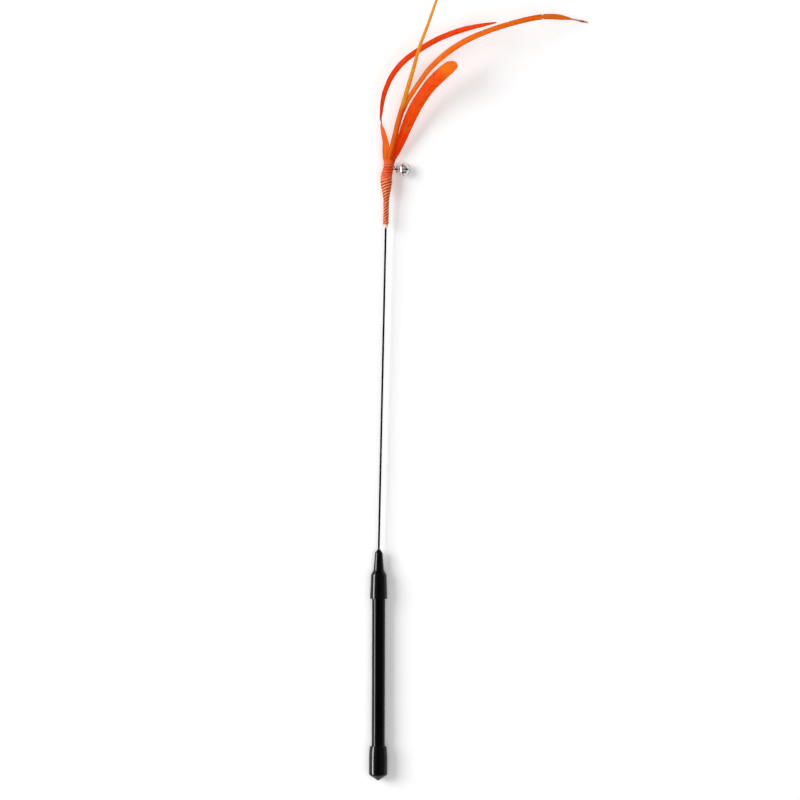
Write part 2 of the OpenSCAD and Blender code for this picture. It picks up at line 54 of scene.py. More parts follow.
# %% Sizes of the handle
MM = 0.001
SNUG = 0.04
TUBE_R = 5.25
TUBE_BORE_R = 4.0
CAP_R = 7.39
CAP_DRAW = 0.7
CAP_BARREL = 10.0
CAP_DRAW_LEN = 11.8
CAP_NOSE = 5.66
CAP_CORNER_R = 2.2
CAP_POINT_R = 1.6
CAP_FLOOR = 3.4
GRIP_LEN = 117.2
CAP_MOUTH_Y = CAP_BARREL + CAP_DRAW_LEN
BOOT_Y = CAP_MOUTH_Y + GRIP_LEN
BOOT_LIP_R = TUBE_R + 1.65
BOOT_TOP_R = BOOT_LIP_R - 0.65
BOOT_BODY = 19.1
BOOT_SHOULDER = 3.9
BOOT_NECK_R = 4.15
BOOT_NECK = 13.6
BOOT_NECK_TOP_R = 3.07
BOOT_NOSE = 2.6
BOOT_NOSE_WALL = 0.35
TUBE_IN_BOOT = 14.0
TUBE_BUTT_Y = CAP_FLOOR - CAP_NOSE
TUBE_TOP_Y = BOOT_Y + TUBE_IN_BOOT
BOOT_TIP_Y = BOOT_Y + BOOT_BODY + BOOT_SHOULDER + BOOT_NECK + BOOT_NOSE
print("boot tip at", round(BOOT_TIP_Y, 2), "mm")

# %% Sizes of the rod and the binding
ROD_R = 0.8
ROD_FREE = 256.0
BEND_R = 250.0
BEND = math.radians(1.235)
BEND_ROLL = math.radians(29)
ROD_IN_CORE = 36.0
ROD_BUTT_Y = TUBE_TOP_Y - 18.0
TURNS = 24
THREAD_W = 1.68
THREAD_T = 1.1
TURN_PITCH = 1.908
TIE_ROOM = 0.8
TIE_TURN = 22
SLIM_R = 2.27
BULGE_R = 4.8
CROWN_R = 4.2
SLIM_LEN = 20.0
BULGE_AT = 39.6
BULGE_LEAN = -0.4
CROWN_LEAN = 1.15
BEAD_R = 1.9
BEAD_LEN = 1.2
CROWN_GLUE_T = 1.1
LEAD_R = THREAD_W * 0.6
LOOPS_FROM = BEAD_LEN + THREAD_W + LEAD_R
CORE_LEN = LOOPS_FROM + TURN_PITCH * TURNS + TIE_ROOM + LEAD_R + THREAD_W + CROWN_GLUE_T
CROWN_AT = CORE_LEN - CROWN_GLUE_T - THREAD_W
TIE_Y = LOOPS_FROM + TURN_PITCH * TIE_TURN + (TURN_PITCH + TIE_ROOM) / 2
print("binding is", round(CORE_LEN, 2), "mm long")

# %% Sizes of the bell, its ring and its tie
BELL_R = 5.0
BELL_T = 0.35
SEAM_R = 0.3
SLOT_W = 1.1
SLOT_END_R = 0.95
SLOT_SPREAD = math.radians(48)
EYE_R = 1.25
EYE_WIRE_R = 0.4
RING_R = 3.0
RING_WIRE_R = 0.35
TIE_R = 0.375
TIE_REACH = 7.85
FLOOR_SLOPE = (CAP_R - BOOT_LIP_R) / (BOOT_Y - CAP_BARREL / 2)
print("bell", 2 * BELL_R, "mm, ring", 2 * RING_R, "mm, tie's thread", 2 * TIE_R, "mm")

# %% [markdown]
# ## From the rod's end to the whole wand
# The rod leaves the boot with a slight bend of its own, to the right and up. What sits on its far
# end is easiest to describe along the rod, so one matrix carries such points to the whole wand.

# %% The rod's end in the wand's frame
BEND_END = Vector((BEND_R * (1 - math.cos(BEND)), BOOT_TIP_Y + BEND_R * math.sin(BEND), 0))
ROD_RUN = ROD_FREE - BEND_R * BEND
ROD_END = (Matrix.Rotation(-BEND_ROLL, 4, "Y") @ Matrix.Translation(BEND_END)
           @ Matrix.Rotation(-BEND, 4, "Z") @ Matrix.Rotation(BEND_ROLL, 4, "Y")
           @ Matrix.Translation((0, ROD_RUN, 0)))
TURN_TO_ROW = np.array(ROD_END.to_3x3())
MOVE_TO_ROW = np.array(ROD_END.translation)
TIP_PLACE = Matrix.Translation(ROD_END.translation * MM) @ ROD_END.to_3x3().to_4x4()


def on_wand(points):
    """Points beside the rod's end, in mm, as points of the whole wand."""
    return np.asarray(points, float) @ TURN_TO_ROW.T + MOVE_TO_ROW


RING_TOP = on_wand([[TIE_REACH, TIE_Y, 0]])[0]
EYE_AT = RING_TOP - [0, 0, 2 * RING_R]
EYE_SINK = EYE_WIRE_R * 0.75
EYE_REACH = BELL_R + EYE_R - EYE_SINK
FLOOR_UNDER_BELL = FLOOR_SLOPE * (RING_TOP[1] - CAP_BARREL / 2) - CAP_R
BELL_PITCH = math.asin((FLOOR_UNDER_BELL + BELL_R - EYE_AT[2]) / EYE_REACH)
BELL_AT = EYE_AT + EYE_REACH * np.array([math.cos(BELL_PITCH), 0, math.sin(BELL_PITCH)])
print("ring", RING_TOP.round(2), "bell", BELL_AT.round(2))

# %% [markdown]
# ## The camera
# The wand is photographed from straight above, and hardly any perspective shows, so the camera
# stands four metres up with a long lens. It is turned by a hair, because the wand leans a little
# in the picture.

# %% Camera
lens = bpy.data.cameras.new("Overhead")
lens.lens = 225.9
lens.sensor_width = 36
camera = bpy.data.objects.new("Overhead", lens)
camera.location = (0.01655, 0.29748, 4.0)
camera.rotation_euler = (0, 0, 0.003)
bpy.context.scene.collection.objects.link(camera)
bpy.context.scene.camera = camera
bpy.context.scene.view_settings.view_transform = "Standard"
print("camera", tuple(camera.location))

# %% [markdown]
# ## Node helpers
# A material is a small graph. These helpers add a node to the graph that a socket belongs to, link
# sockets, and open a node group with named sockets, so that each material reads as a short recipe.


# %% Helpers for nodes
def add_node(tree, kind, links=(), **settings):
    """A new node; settings are its properties, and links fill its inputs by name or number."""
    node = tree.nodes.new(kind)
    for key, value in settings.items():
        setattr(node, key, value)
    for key, value in dict(links).items():
        socket = node.inputs[key]
        if isinstance(value, bpy.types.NodeSocket):
            tree.links.new(value, socket)
        else:
            socket.default_value = value
    return node


def maths(operation, a, b=0.0):
    """The result of one sum on two values, of which one or both are sockets."""
    tree = (a if isinstance(a, bpy.types.NodeSocket) else b).id_data
    return add_node(tree, "ShaderNodeMath", {0: a, 1: b}, operation=operation).outputs[0]


def times(a, b):
    """The product of two values."""
    return maths("MULTIPLY", a, b)


def plus(a, b):
    """The sum of two values."""
    return maths("ADD", a, b)


def minus(a, b):
    """The first value less the second."""
    return maths("SUBTRACT", a, b)


def larger(a, b):
    """The larger of two values."""
    return maths("MAXIMUM", a, b)


def blend_colours(share, a, b):
    """Colour b laid over colour a by a share."""
    return add_node(share.id_data, "ShaderNodeMix", {0: share, 6: a, 7: b}, data_type="RGBA").outputs[2]


def ramp(value, low, high, to_low=0.0, to_high=1.0, kind="SMOOTHSTEP"):
    """A step of a value from low to high, smooth unless another kind is given."""
    links = {0: value, 1: low, 2: high, 3: to_low, 4: to_high}
    return add_node(value.id_data, "ShaderNodeMapRange", links, interpolation_type=kind).outputs[0]


def piece_place(tree):
    """Object coordinates, so that a pattern stays on its piece."""
    return add_node(tree, "ShaderNodeTexCoord").outputs["Object"]


def noise(vector, scale, detail=2.0, **more):
    """A noise pattern's value."""
    links = {"Vector": vector, "Scale": scale, "Detail": detail, **more}
    return add_node(vector.id_data, "ShaderNodeTexNoise", links).outputs["Fac"]


def stretched(vector, scale, turn=(0, 0, 0)):
    """A pattern's place, turned and drawn out."""
    links = {"Vector": vector, "Rotation": turn, "Scale": scale}
    return add_node(vector.id_data, "ShaderNodeMapping", links).outputs[0]


def bumped(height, strength, distance, **under):
    """A normal that follows a pattern's height, over the normal under it if one is given."""
    links = {"Strength": strength, "Distance": distance, "Height": height, **under}
    return add_node(height.id_data, "ShaderNodeBump", links).outputs[0]


def connect(inputs, **sockets):
    """Sockets linked to inputs by name, where _ stands for a space."""
    for label, socket in sockets.items():
        socket.id_data.links.new(socket, inputs[label.replace("_", " ")])


print("node helpers ready")


# %% Helpers for groups and materials
SURFACE = {"Colour": "Color", "Roughness": "Float", "Normal": "Vector"}


def open_group(name, outputs, **inputs):
    """A shader node group, with its input sockets to read and its output sockets to fill.

    Inputs come with their defaults: four numbers make a colour socket, and one a plain value.
    """
    group = bpy.data.node_groups.new(name, "ShaderNodeTree")
    for label, default in inputs.items():
        kind = "NodeSocketColor" if isinstance(default, tuple) else "NodeSocketFloat"
        socket = group.interface.new_socket(label.replace("_", " "), in_out="INPUT", socket_type=kind)
        socket.default_value = default
    for label, kind in outputs.items():
        group.interface.new_socket(label, in_out="OUTPUT", socket_type=f"NodeSocket{kind}")
    return group, group.nodes.new("NodeGroupInput").outputs, group.nodes.new("NodeGroupOutput").inputs


def new_material(name, **sockets):
    """A material and its Principled shader, with the plain values set on the shader."""
    made = bpy.data.materials.new(name)
    made.use_nodes = True
    shader = made.node_tree.nodes["Principled BSDF"]
    for label, value in sockets.items():
        shader.inputs[label.replace("_", " ")].default_value = value
    return made, made.node_tree, shader


def group_material(name, group, plain, linked=("Roughness", "Normal"), **values):
    """A material whose base colour and other linked inputs come from one node group."""
    made, tree, shader = new_material(name, **plain)
    settings = {label.replace("_", " "): value for label, value in values.items()}
    placed = add_node(tree, "ShaderNodeGroup", settings, node_tree=group)
    connect(shader.inputs, Base_Color=placed.outputs["Colour"])
    connect(shader.inputs, **{label: placed.outputs[label] for label in linked})
    return made, tree, shader, placed


print("material helpers ready")

# %% [markdown]
# ## Moulded surface
# Black plastic and rubber are never one even black. The mould leaves a fine grain, handling
# leaves soft rubbed patches, and a little dust settles. One group makes all three from Object
# coordinates, and each black material places it with its own strengths.

# %% Group: moulded grain, rubbed patches and dust
moulded, g_in, g_out = open_group(
    "Moulded surface", SURFACE, Grain_size=2500.0, Grain_height=0.4, Rubbing=0.2, Dust=0.1,
    Base=(0, 0, 0, 1), Dust_colour=(0.3, 0.3, 0.3, 1), Roughness_low=0.3, Roughness_high=0.5)
where = piece_place(moulded)
grain = noise(where, g_in["Grain size"])
patch_scale, speck_scale, dust_scale = 70.0, 900.0, 420.0
drift = noise(where, patch_scale, 4.0, Distortion=0.6)
rubbed = times(ramp(drift, 0.42, 0.68), g_in["Rubbing"])
specks = add_node(moulded, "ShaderNodeTexVoronoi", {"Vector": where, "Scale": speck_scale},
                  feature="DISTANCE_TO_EDGE").outputs["Distance"]
spots = noise(where, dust_scale, 3.0)
dusty = times(ramp(spots, 0.6, 0.74), g_in["Dust"])
tone = blend_colours(dusty, g_in["Base"], g_in["Dust colour"])
rough = ramp(plus(grain, rubbed), 0.3, 1.0, g_in["Roughness low"], g_in["Roughness high"], "LINEAR")
height = plus(times(grain, g_in["Grain height"]), times(ramp(specks, 0.0, 0.08), 0.05))
connect(g_out, Colour=tone, Roughness=rough, Normal=bumped(height, 0.35, 0.00006))
print("group", moulded.name)

# %% Materials of the handle
tube_black = group_material(
    "Tube_black", moulded, {"Specular_IOR_Level": 0.1}, Grain_size=1800.0, Grain_height=0.25, Rubbing=0.3,
    Dust=0.1, Base=(0.0009, 0.0009, 0.001, 1), Dust_colour=(0.01, 0.01, 0.011, 1), Roughness_low=0.14,
    Roughness_high=0.23)[0]
soft_black = group_material(
    "Soft_black_rubber", moulded, {"Specular_IOR_Level": 0.2}, Grain_size=2600.0, Grain_height=0.5,
    Rubbing=0.5, Dust=0.25, Base=(0.001, 0.001, 0.001, 1), Dust_colour=(0.012, 0.011, 0.011, 1),
    Roughness_low=0.13, Roughness_high=0.24)[0]
plug_grey = group_material(
    "Plug_grey", moulded, {"Specular_IOR_Level": 0.4}, Grain_size=2200.0, Grain_height=0.5, Rubbing=0.3,
    Dust=0.1, Base=(0.03, 0.031, 0.034, 1), Dust_colour=(0.08, 0.08, 0.08, 1), Roughness_low=0.35,
    Roughness_high=0.55)[0]
print("handle materials", tube_black.name, soft_black.name, plug_grey.name)

# %% [markdown]
# ## The rod's surface
# The rod is pulled glass fibre under a black skin: fine lines run along it. The lines are a noise
# stretched along Y, which lifts the surface a little.

# %% Material of the rod
rod_black, tree, shader, skin = group_material(
    "Rod_black", moulded, {"Specular_IOR_Level": 0.06}, Grain_size=3000.0, Grain_height=0.2, Rubbing=0.2,
    Dust=0.08, Base=(0.0009, 0.0009, 0.001, 1), Dust_colour=(0.008, 0.008, 0.008, 1), Roughness_low=0.3,
    Roughness_high=0.42)
fibres = noise(stretched(piece_place(tree), (1.0, 0.012, 1.0)), 9000.0)
connect(shader.inputs, Normal=bumped(fibres, 0.3, 0.00004, Normal=skin.outputs["Normal"]))
print("rod material", rod_black.name)

# %% [markdown]
# ## Modelling helpers
# A turned piece starts as a circle at its place. The circle is drawn out along the wand and
# resized from station to station, as clay is drawn up on a wheel. The stations come from an
# outline whose corners are rounded by arcs. Every finished piece gets its material, is parented
# to the CAD body that it rides on, and hides the solid that it stands for.


# %% Helpers for pieces
def pick(obj):
    """Only this piece is selected, so that an operator acts on it alone."""
    bpy.ops.object.select_all(action="DESELECT")
    obj.select_set(True)
    bpy.context.view_layer.objects.active = obj


def into_edit(obj, how="EDGE"):
    """Edit mode on one piece alone, with all of it selected."""
    pick(obj)
    bpy.ops.object.mode_set(mode="EDIT")
    bpy.ops.mesh.select_mode(type=how)
    bpy.ops.mesh.select_all(action="SELECT")


def out_of_edit():
    """Back to object mode."""
    bpy.ops.object.mode_set(mode="OBJECT")


def settle(obj, place=None):
    """The piece's place, or a new one, goes into its mesh; its object then sits at the origin."""
    if place is not None:
        obj.matrix_world = place
    pick(obj)
    bpy.ops.object.transform_apply(location=True, rotation=True, scale=True)


def face_outwards(obj):
    """Doubles are merged and all faces turned to point out."""
    into_edit(obj, "VERT")
    bpy.ops.mesh.remove_doubles(threshold=1e-7)
    bpy.ops.mesh.normals_make_consistent(inside=False)
    out_of_edit()
    return obj


def torus(middle_r, wire_r, sides, wire_sides, place=(0, 0, 0), turn=(0, 0, 0)):
    """A ring of round wire, with its radii in mm and its place in metres."""
    bpy.ops.mesh.primitive_torus_add(major_radius=middle_r * MM, minor_radius=wire_r * MM,
                                     major_segments=sides, minor_segments=wire_sides, location=place,
                                     rotation=turn)
    obj = bpy.context.object
    settle(obj)
    return obj


def smooth_shade(obj, angle=30):
    """Soft shading that keeps edges sharper than an angle."""
    pick(obj)
    bpy.ops.object.shade_smooth_by_angle(angle=math.radians(angle))
    return obj


def hand_over(obj, name, material, body="root", stands_for=()):
    """The finished piece gets its name, finish and body."""
    obj.name = name
    obj.data.name = name
    obj.data.materials.clear()
    obj.data.materials.append(material)
    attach(obj, body)
    if stands_for:
        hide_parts(*stands_for)
    print(name, len(obj.data.polygons), "faces")


def finish_solid(node, material):
    """A CAD solid that keeps its form gets its finish."""
    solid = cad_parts[node]
    solid.data.materials.clear()
    solid.data.materials.append(material)
    print(node, "keeps its CAD form")


print("helpers for pieces ready")


# %% Helpers for turned pieces
def arc(centre_y, centre_r, radius, start, end, steps):
    """Stations on an arc: at 0 degrees it points away from the axis, and at 90 along +Y."""
    turns = [math.radians(start + (end - start) * k / steps) for k in range(steps + 1)]
    return [(centre_y + radius * math.sin(a), centre_r + radius * math.cos(a)) for a in turns]


def rounded(points, steps=6):
    """An outline of (y, r, corner radius) with each corner replaced by an arc."""
    out = []
    for k, (y, r, corner) in enumerate(points):
        if corner == 0 or k in (0, len(points) - 1):
            out.append((y, r))
            continue
        here = Vector((y, r))
        before = (Vector(points[k - 1][:2]) - here).normalized()
        after = (Vector(points[k + 1][:2]) - here).normalized()
        half = before.angle(after) / 2
        middle = here + (before + after).normalized() * (corner / math.sin(half))
        first = here + before * (corner / math.tan(half)) - middle
        last = here + after * (corner / math.tan(half)) - middle
        for j in range(steps + 1):
            turned = first.normalized().slerp(last.normalized(), j / steps)
            out.append(tuple(middle + turned * corner))
    return out


def circle(y, radius, sides, fill_type="NOTHING"):
    """A circle across the wand at its place, in mm."""
    bpy.ops.mesh.primitive_circle_add(vertices=sides, radius=radius * MM, location=(0, y * MM, 0),
                                      rotation=(math.pi / 2, 0, 0), fill_type=fill_type)
    obj = bpy.context.object
    settle(obj)
    return obj


def draw_out(stations, sides, disc_first=False):
    """A turned piece along +Y from its stations (y, r) in mm; a radius of 0 closes it."""
    obj = circle(*stations[0], sides, "TRIFAN" if disc_first else "NOTHING")
    into_edit(obj)
    if disc_first:
        bpy.ops.mesh.region_to_loop()
    for (y1, r1), (y2, r2) in zip(stations, stations[1:]):
        bpy.ops.mesh.extrude_edges_move(TRANSFORM_OT_translate={"value": (0, (y2 - y1) * MM, 0)})
        if r2 == 0:
            bpy.ops.mesh.merge(type="CENTER")
        else:
            bpy.ops.transform.resize(value=(r2 / r1, 1, r2 / r1), center_override=(0, y2 * MM, 0))
    out_of_edit()
    return obj


def close_round(obj):
    """Bridges the first ring of a turned piece to its last."""
    into_edit(obj, "VERT")
    bpy.ops.mesh.select_all(action="DESELECT")
    bpy.ops.mesh.select_non_manifold()
    bpy.ops.mesh.bridge_edge_loops()
    out_of_edit()


print("helpers for turned pieces ready")

# %% [markdown]
# ## The grip tube
# The tube is a plain extrusion, and its ends are hidden in the cap and the boot. It has a real
# bore, and its ends are broken by a small chamfer, as a cut tube's are.

# %% Grip tube
ROUND = 128
chamfer = 0.25
middle_ys = [CAP_MOUTH_Y + GRIP_LEN * k / 12 for k in range(13)]
tube_line = [(TUBE_BUTT_Y, TUBE_BORE_R), (TUBE_BUTT_Y, TUBE_R - chamfer), (TUBE_BUTT_Y + chamfer, TUBE_R)]
tube_line += [(y, TUBE_R) for y in middle_ys]
tube_line += [(TUBE_TOP_Y - chamfer, TUBE_R), (TUBE_TOP_Y, TUBE_R - chamfer), (TUBE_TOP_Y, TUBE_BORE_R)]
tube = draw_out(tube_line, ROUND)
close_round(tube)
smooth_shade(face_outwards(tube))
hand_over(tube, "Grip_tube", tube_black, stands_for=["grip_tube"])

# %% [markdown]
# ## The butt cap
# A dipped or moulded rubber cap has a straight barrel, a mouth that draws in to grip the tube with
# a rounded lip, and a blunt point. Its outline is made of arcs that run into one another, from
# the floor of the hollow, round the lip and down to the point.

# %% Butt cap
bore = TUBE_R + SNUG
mouth_r = CAP_R - CAP_DRAW
lip_r = (mouth_r - bore) / 2
draw_r = (CAP_DRAW_LEN ** 2 + CAP_DRAW ** 2) / (2 * CAP_DRAW)
corner = Vector((CAP_R - CAP_CORNER_R, 0))
point = Vector((0, CAP_POINT_R - CAP_NOSE))
run = corner - point
lean_of_side = math.atan2(run.y, run.x) - math.acos((CAP_POINT_R - CAP_CORNER_R) / run.length)
side_turn = math.degrees(lean_of_side)
cap_line = [(TUBE_BUTT_Y, bore)]
cap_line += [(CAP_MOUTH_Y * k / 6, bore) for k in range(1, 6)]
cap_line += arc(CAP_MOUTH_Y - lip_r, bore + lip_r, lip_r, 180, 20, 12)
for k in range(1, 13):
    y = CAP_MOUTH_Y - lip_r - (CAP_DRAW_LEN - lip_r) * k / 12
    cap_line.append((y, CAP_R - draw_r + math.sqrt(draw_r ** 2 - (y - CAP_BARREL) ** 2)))
cap_line += [(CAP_BARREL * (1 - k / 5), CAP_R) for k in range(1, 5)]
cap_line += arc(0, corner.x, CAP_CORNER_R, 0, side_turn, 10)
cap_line += arc(point.y, 0, CAP_POINT_R, side_turn, -84, 10) + [(-CAP_NOSE, 0)]
cap = draw_out(cap_line, ROUND, disc_first=True)
smooth_shade(face_outwards(cap), 40)
hand_over(cap, "Butt_cap", soft_black, stands_for=["butt_cap"])

# %% [markdown]
# ## The neck boot
# The boot slides over the tube's other end. Its body narrows a little, a soft shoulder leads to a
# tapering neck, and a short cone ends in a thin lip round the rod. Inside it has the socket for
# the tube and a fine bore for the rod.

# %% Neck boot
room_behind_tube = 1.2
socket_y = BOOT_Y + TUBE_IN_BOOT + room_behind_tube + SNUG
shoulder_y = BOOT_Y + BOOT_BODY
neck_y = shoulder_y + BOOT_SHOULDER
top_y = neck_y + BOOT_NECK
rod_bore = ROD_R + SNUG
boot_line = [(BOOT_TIP_Y, rod_bore), (socket_y, rod_bore), (socket_y, bore)]
boot_line += [(BOOT_Y + TUBE_IN_BOOT * k / 4, bore) for k in (3, 2, 1)]
boot_line += rounded([(BOOT_Y + 1, bore, 0), (BOOT_Y, bore, 0.3), (BOOT_Y, BOOT_LIP_R, 0.5),
                      (BOOT_Y + BOOT_BODY * 0.5, (BOOT_LIP_R + BOOT_TOP_R) / 2, 0),
                      (shoulder_y, BOOT_TOP_R, 2.2), (neck_y, BOOT_NECK_R, 1.5),
                      (neck_y + BOOT_NECK / 2, (BOOT_NECK_R + BOOT_NECK_TOP_R) / 2, 0),
                      (top_y, BOOT_NECK_TOP_R, 1.0), (BOOT_TIP_Y, rod_bore + BOOT_NOSE_WALL, 0.12),
                      (BOOT_TIP_Y, rod_bore, 0)])[1:-1]
boot = draw_out(boot_line, ROUND)
close_round(boot)
smooth_shade(face_outwards(boot), 40)
hand_over(boot, "Neck_boot", soft_black, stands_for=["neck_boot"])

# %% The plug inside the tube keeps its solid
finish_solid("rod_plug", plug_grey)

# %% [markdown]
# ## The rod
# The rod is a circle drawn out along the handle, spun through its slight bend where it leaves the
# boot, and drawn out again to its end inside the binding.

# %% Rod
straight_steps, bend_steps, free_steps = 4, 6, 12
rod = circle(ROD_BUTT_Y, ROD_R, 32, "NGON")
into_edit(rod, "FACE")
for k in range(straight_steps):
    step = (BOOT_TIP_Y - ROD_BUTT_Y) / straight_steps * MM
    bpy.ops.mesh.extrude_region_move(TRANSFORM_OT_translate={"value": (0, step, 0)})
out_of_bend = ROD_END.to_3x3() @ Vector((0, 1, 0))
bend_axis = Matrix.Rotation(-BEND_ROLL, 3, "Y") @ Vector((0, 0, 1))
bend_centre = Matrix.Rotation(-BEND_ROLL, 3, "Y") @ Vector((BEND_R, BOOT_TIP_Y, 0))
bpy.ops.mesh.spin(steps=bend_steps, dupli=False, angle=BEND, center=bend_centre * MM, axis=bend_axis)
for k in range(free_steps):
    step = (ROD_RUN + ROD_IN_CORE) / free_steps * MM
    bpy.ops.mesh.extrude_region_move(TRANSFORM_OT_translate={"value": tuple(out_of_bend * step)})
out_of_edit()
rod_tip = max((v.co for v in rod.data.vertices), key=lambda p: p.y)
wanted = on_wand([[0, ROD_IN_CORE, 0]])[0] * MM
print("rod ends", [round(c / MM, 2) for c in rod_tip], "wanted", (wanted / MM).round(2))
smooth_shade(face_outwards(rod))
hand_over(rod, "Rod", rod_black, stands_for=["rod"])

# %% [markdown]
# ## Thread and its colour
# The binding and the bell's tie are twisted thread. Each ply is one long tube that turns round its
# neighbours. Fine fibres run along every ply at a slant, so one group draws them from the ply's
# own UV map: U is the length along it in centimetres, and V goes once round it.

# %% Group: fibres of a ply
fibred, g_in, g_out = open_group(
    "Thread fibres", {"Colour": "Color", "Normal": "Vector"}, Light=(1, 1, 1, 1), Mid=(1, 1, 1, 1),
    Dark=(0, 0, 0, 1), Groove_colour=(0, 0, 0, 1), Groove=0.6)
uv = add_node(fibred, "ShaderNodeUVMap", uv_map="UVMap").outputs[0]
slant = stretched(uv, (14.0, 26.0, 1.0), (0, 0, 0.35))
fibre = noise(slant, 1.0, 3.0, Roughness=0.6)
patch = noise(piece_place(fibred), 260.0)
base = blend_colours(ramp(patch, 0.4, 0.66), g_in["Mid"], g_in["Light"])
tone = blend_colours(ramp(fibre, 0.52, 0.3), base, g_in["Dark"])
# The tone attribute says how far out each corner of a ply lies; with it the grooves are painted darker in
# Groove colour, as painted shade.
depth = add_node(fibred, "ShaderNodeAttribute", attribute_name="tone").outputs["Fac"]
painted_groove_shade = times(ramp(depth, 0.97, 0.6), g_in["Groove"])
tone = blend_colours(painted_groove_shade, tone, g_in["Groove colour"])
connect(g_out, Colour=tone, Normal=bumped(fibre, 0.6, 0.00008))
print("group", fibred.name)

# %% [markdown]
# The strands laid over the turns are the same thread, painted lighter than the turns as a painted
# highlight on their ridges, with darker painted shade in the grooves between them. The bell's tie
# is red thread painted very dark, as painted shade.


# %% Materials of the threads
def thread_material(name, plain, **values):
    """Twisted thread, whose colour and bump come from the group of fibres."""
    return group_material(name, fibred, plain, linked=("Normal",), **values)[0]


# Groove colour and Groove set the painted shade in the grooves between turns and between strands.
waxed = {"Roughness": 0.5, "Specular_IOR_Level": 0.2, "Sheen_Weight": 0.06, "Sheen_Roughness": 0.4}
orange_dark = (0.62, 0.035, 0.008, 1)
thread_orange = thread_material(
    "Thread_orange", {**waxed, "Sheen_Tint": (1.0, 0.5, 0.25, 1)}, Light=(1.0, 0.22, 0.05, 1),
    Mid=(1.0, 0.1, 0.014, 1), Dark=orange_dark, Groove_colour=(0.55, 0.03, 0.006, 1), Groove=0.95)
# Painted highlight: the strands' lighter Light and Mid colours stand for the light on their ridges.
strand_highlit_orange = thread_material(
    "Strand_highlit_orange", {**waxed, "Sheen_Tint": (1.0, 0.6, 0.35, 1)}, Light=(1.0, 0.46, 0.18, 1),
    Mid=(1.0, 0.23, 0.055, 1), Dark=orange_dark, Groove_colour=(0.46, 0.015, 0.003, 1), Groove=0.95)
# Painted shade: the tie's red is made very dark for the shade that it lies in.
red_shade_dark = (0.02, 0.002, 0.002, 1)
tie_red_in_shade = thread_material(
    "Tie_red_in_shade", {"Roughness": 0.6, "Specular_IOR_Level": 0.3, "Sheen_Weight": 0.2, "Sheen_Roughness": 0.4},
    Light=(0.14, 0.009, 0.005, 1), Mid=(0.07, 0.004, 0.003, 1), Dark=red_shade_dark, Groove_colour=red_shade_dark,
    Groove=0.7)
print("threads", thread_orange.name, strand_highlit_orange.name, tie_red_in_shade.name)

# %% Material of the glue
clear_glue, tree, shader = new_material("Clear_glue", IOR=1.48, Transmission_Weight=0.12)
cloud = noise(piece_place(tree), 900.0, 4.0)
cream = blend_colours(ramp(cloud, 0.35, 0.65), (1.0, 0.93, 0.87, 1), (0.9, 0.66, 0.55, 1))
connect(shader.inputs, Base_Color=cream, Roughness=ramp(cloud, 0.3, 0.7, 0.12, 0.3),
        Normal=bumped(cloud, 0.4, 0.0002))
print("glue", clear_glue.name)

# %% [markdown]
# ## The binding's shape
# The binding is slim over the rod alone, swells over the quills' ends and draws in again at the
# feathers. Its radius and its sideways lean follow two smooth steps. The thread climbs it in 24
# turns, with a little extra room where the bell's tie comes out.


# %% The binding's outline and the thread's course
def ease(t):
    """A smooth step from 0 to 1."""
    u = min(1.0, max(0.0, t))
    return u * u * (3 - 2 * u)


def swell(y):
    """How far the swelling has come on at a place along the binding."""
    return ease((y - SLIM_LEN) / (BULGE_AT - SLIM_LEN))


def crown(y):
    """How far the feathers' end has come on."""
    return ease((y - BULGE_AT) / (CROWN_AT - BULGE_AT))


def bind_r(y):
    """Outside radius of the binding."""
    return SLIM_R + (BULGE_R - SLIM_R) * swell(y) - (BULGE_R - CROWN_R) * crown(y)


def lean(y):
    """Sideways lean of the binding's middle."""
    return BULGE_LEAN * swell(y) + (CROWN_LEAN - BULGE_LEAN) * crown(y)


def turn_y(n):
    """Place along the binding after n turns; the tie's room is spread over four of them."""
    return LOOPS_FROM + TURN_PITCH * n + TIE_ROOM * ease((n - TIE_TURN + 1.5) / 4)


print("binding radii", [round(bind_r(y), 2) for y in (0, SLIM_LEN, BULGE_AT, CROWN_AT)])


# %% Helpers for threads: long tubes of rings, as one mesh
def ring_mesh(name, tubes, uvs, tones):
    """Closed tubes; each is an array (rings, sides, 3) in mm with UVs (rings, sides, 2) and tones."""
    corners, faces, maps, shades = [], [], [], []
    start = 0
    for rings, uv_rings, shade in zip(tubes, uvs, tones):
        count, sides = rings.shape[:2]
        corners.append(rings.reshape(-1, 3))
        maps.append(uv_rings.reshape(-1, 2))
        shades.append(np.broadcast_to(shade, (count, sides)).ravel())
        a = start + np.arange(count - 1)[:, None] * sides + np.arange(sides)[None, :]
        b = start + np.arange(count - 1)[:, None] * sides + (np.arange(sides)[None, :] + 1) % sides
        faces += np.stack([a, b, b + sides, a + sides], -1).reshape(-1, 4).tolist()
        last = start + (count - 1) * sides
        faces.append(list(range(start, start + sides))[::-1])
        faces.append(list(range(last, last + sides)))
        start += count * sides
    mesh = bpy.data.meshes.new(name)
    mesh.from_pydata((np.concatenate(corners) * MM).tolist(), [], faces)
    loops = np.zeros(len(mesh.loops), int)
    mesh.loops.foreach_get("vertex_index", loops)
    layer = mesh.uv_layers.new(name="UVMap")
    layer.data.foreach_set("uv", np.concatenate(maps)[loops].astype(np.float32).ravel())
    # For feathers the tone attribute is each barb's random tone; for thread it is how far out a corner
    # lies, which becomes painted shade in the grooves.
    tone = mesh.attributes.new("tone", "FLOAT", "POINT")
    tone.data.foreach_set("value", np.concatenate(shades).astype(np.float32))
    mesh.polygons.foreach_set("use_smooth", np.ones(len(mesh.polygons), bool))
    mesh.update()
    obj = bpy.data.objects.new(name, mesh)
    bpy.context.scene.collection.objects.link(obj)
    return obj


def units(vectors):
    """Vectors of length 1."""
    return vectors / np.linalg.norm(vectors, axis=1, keepdims=True)


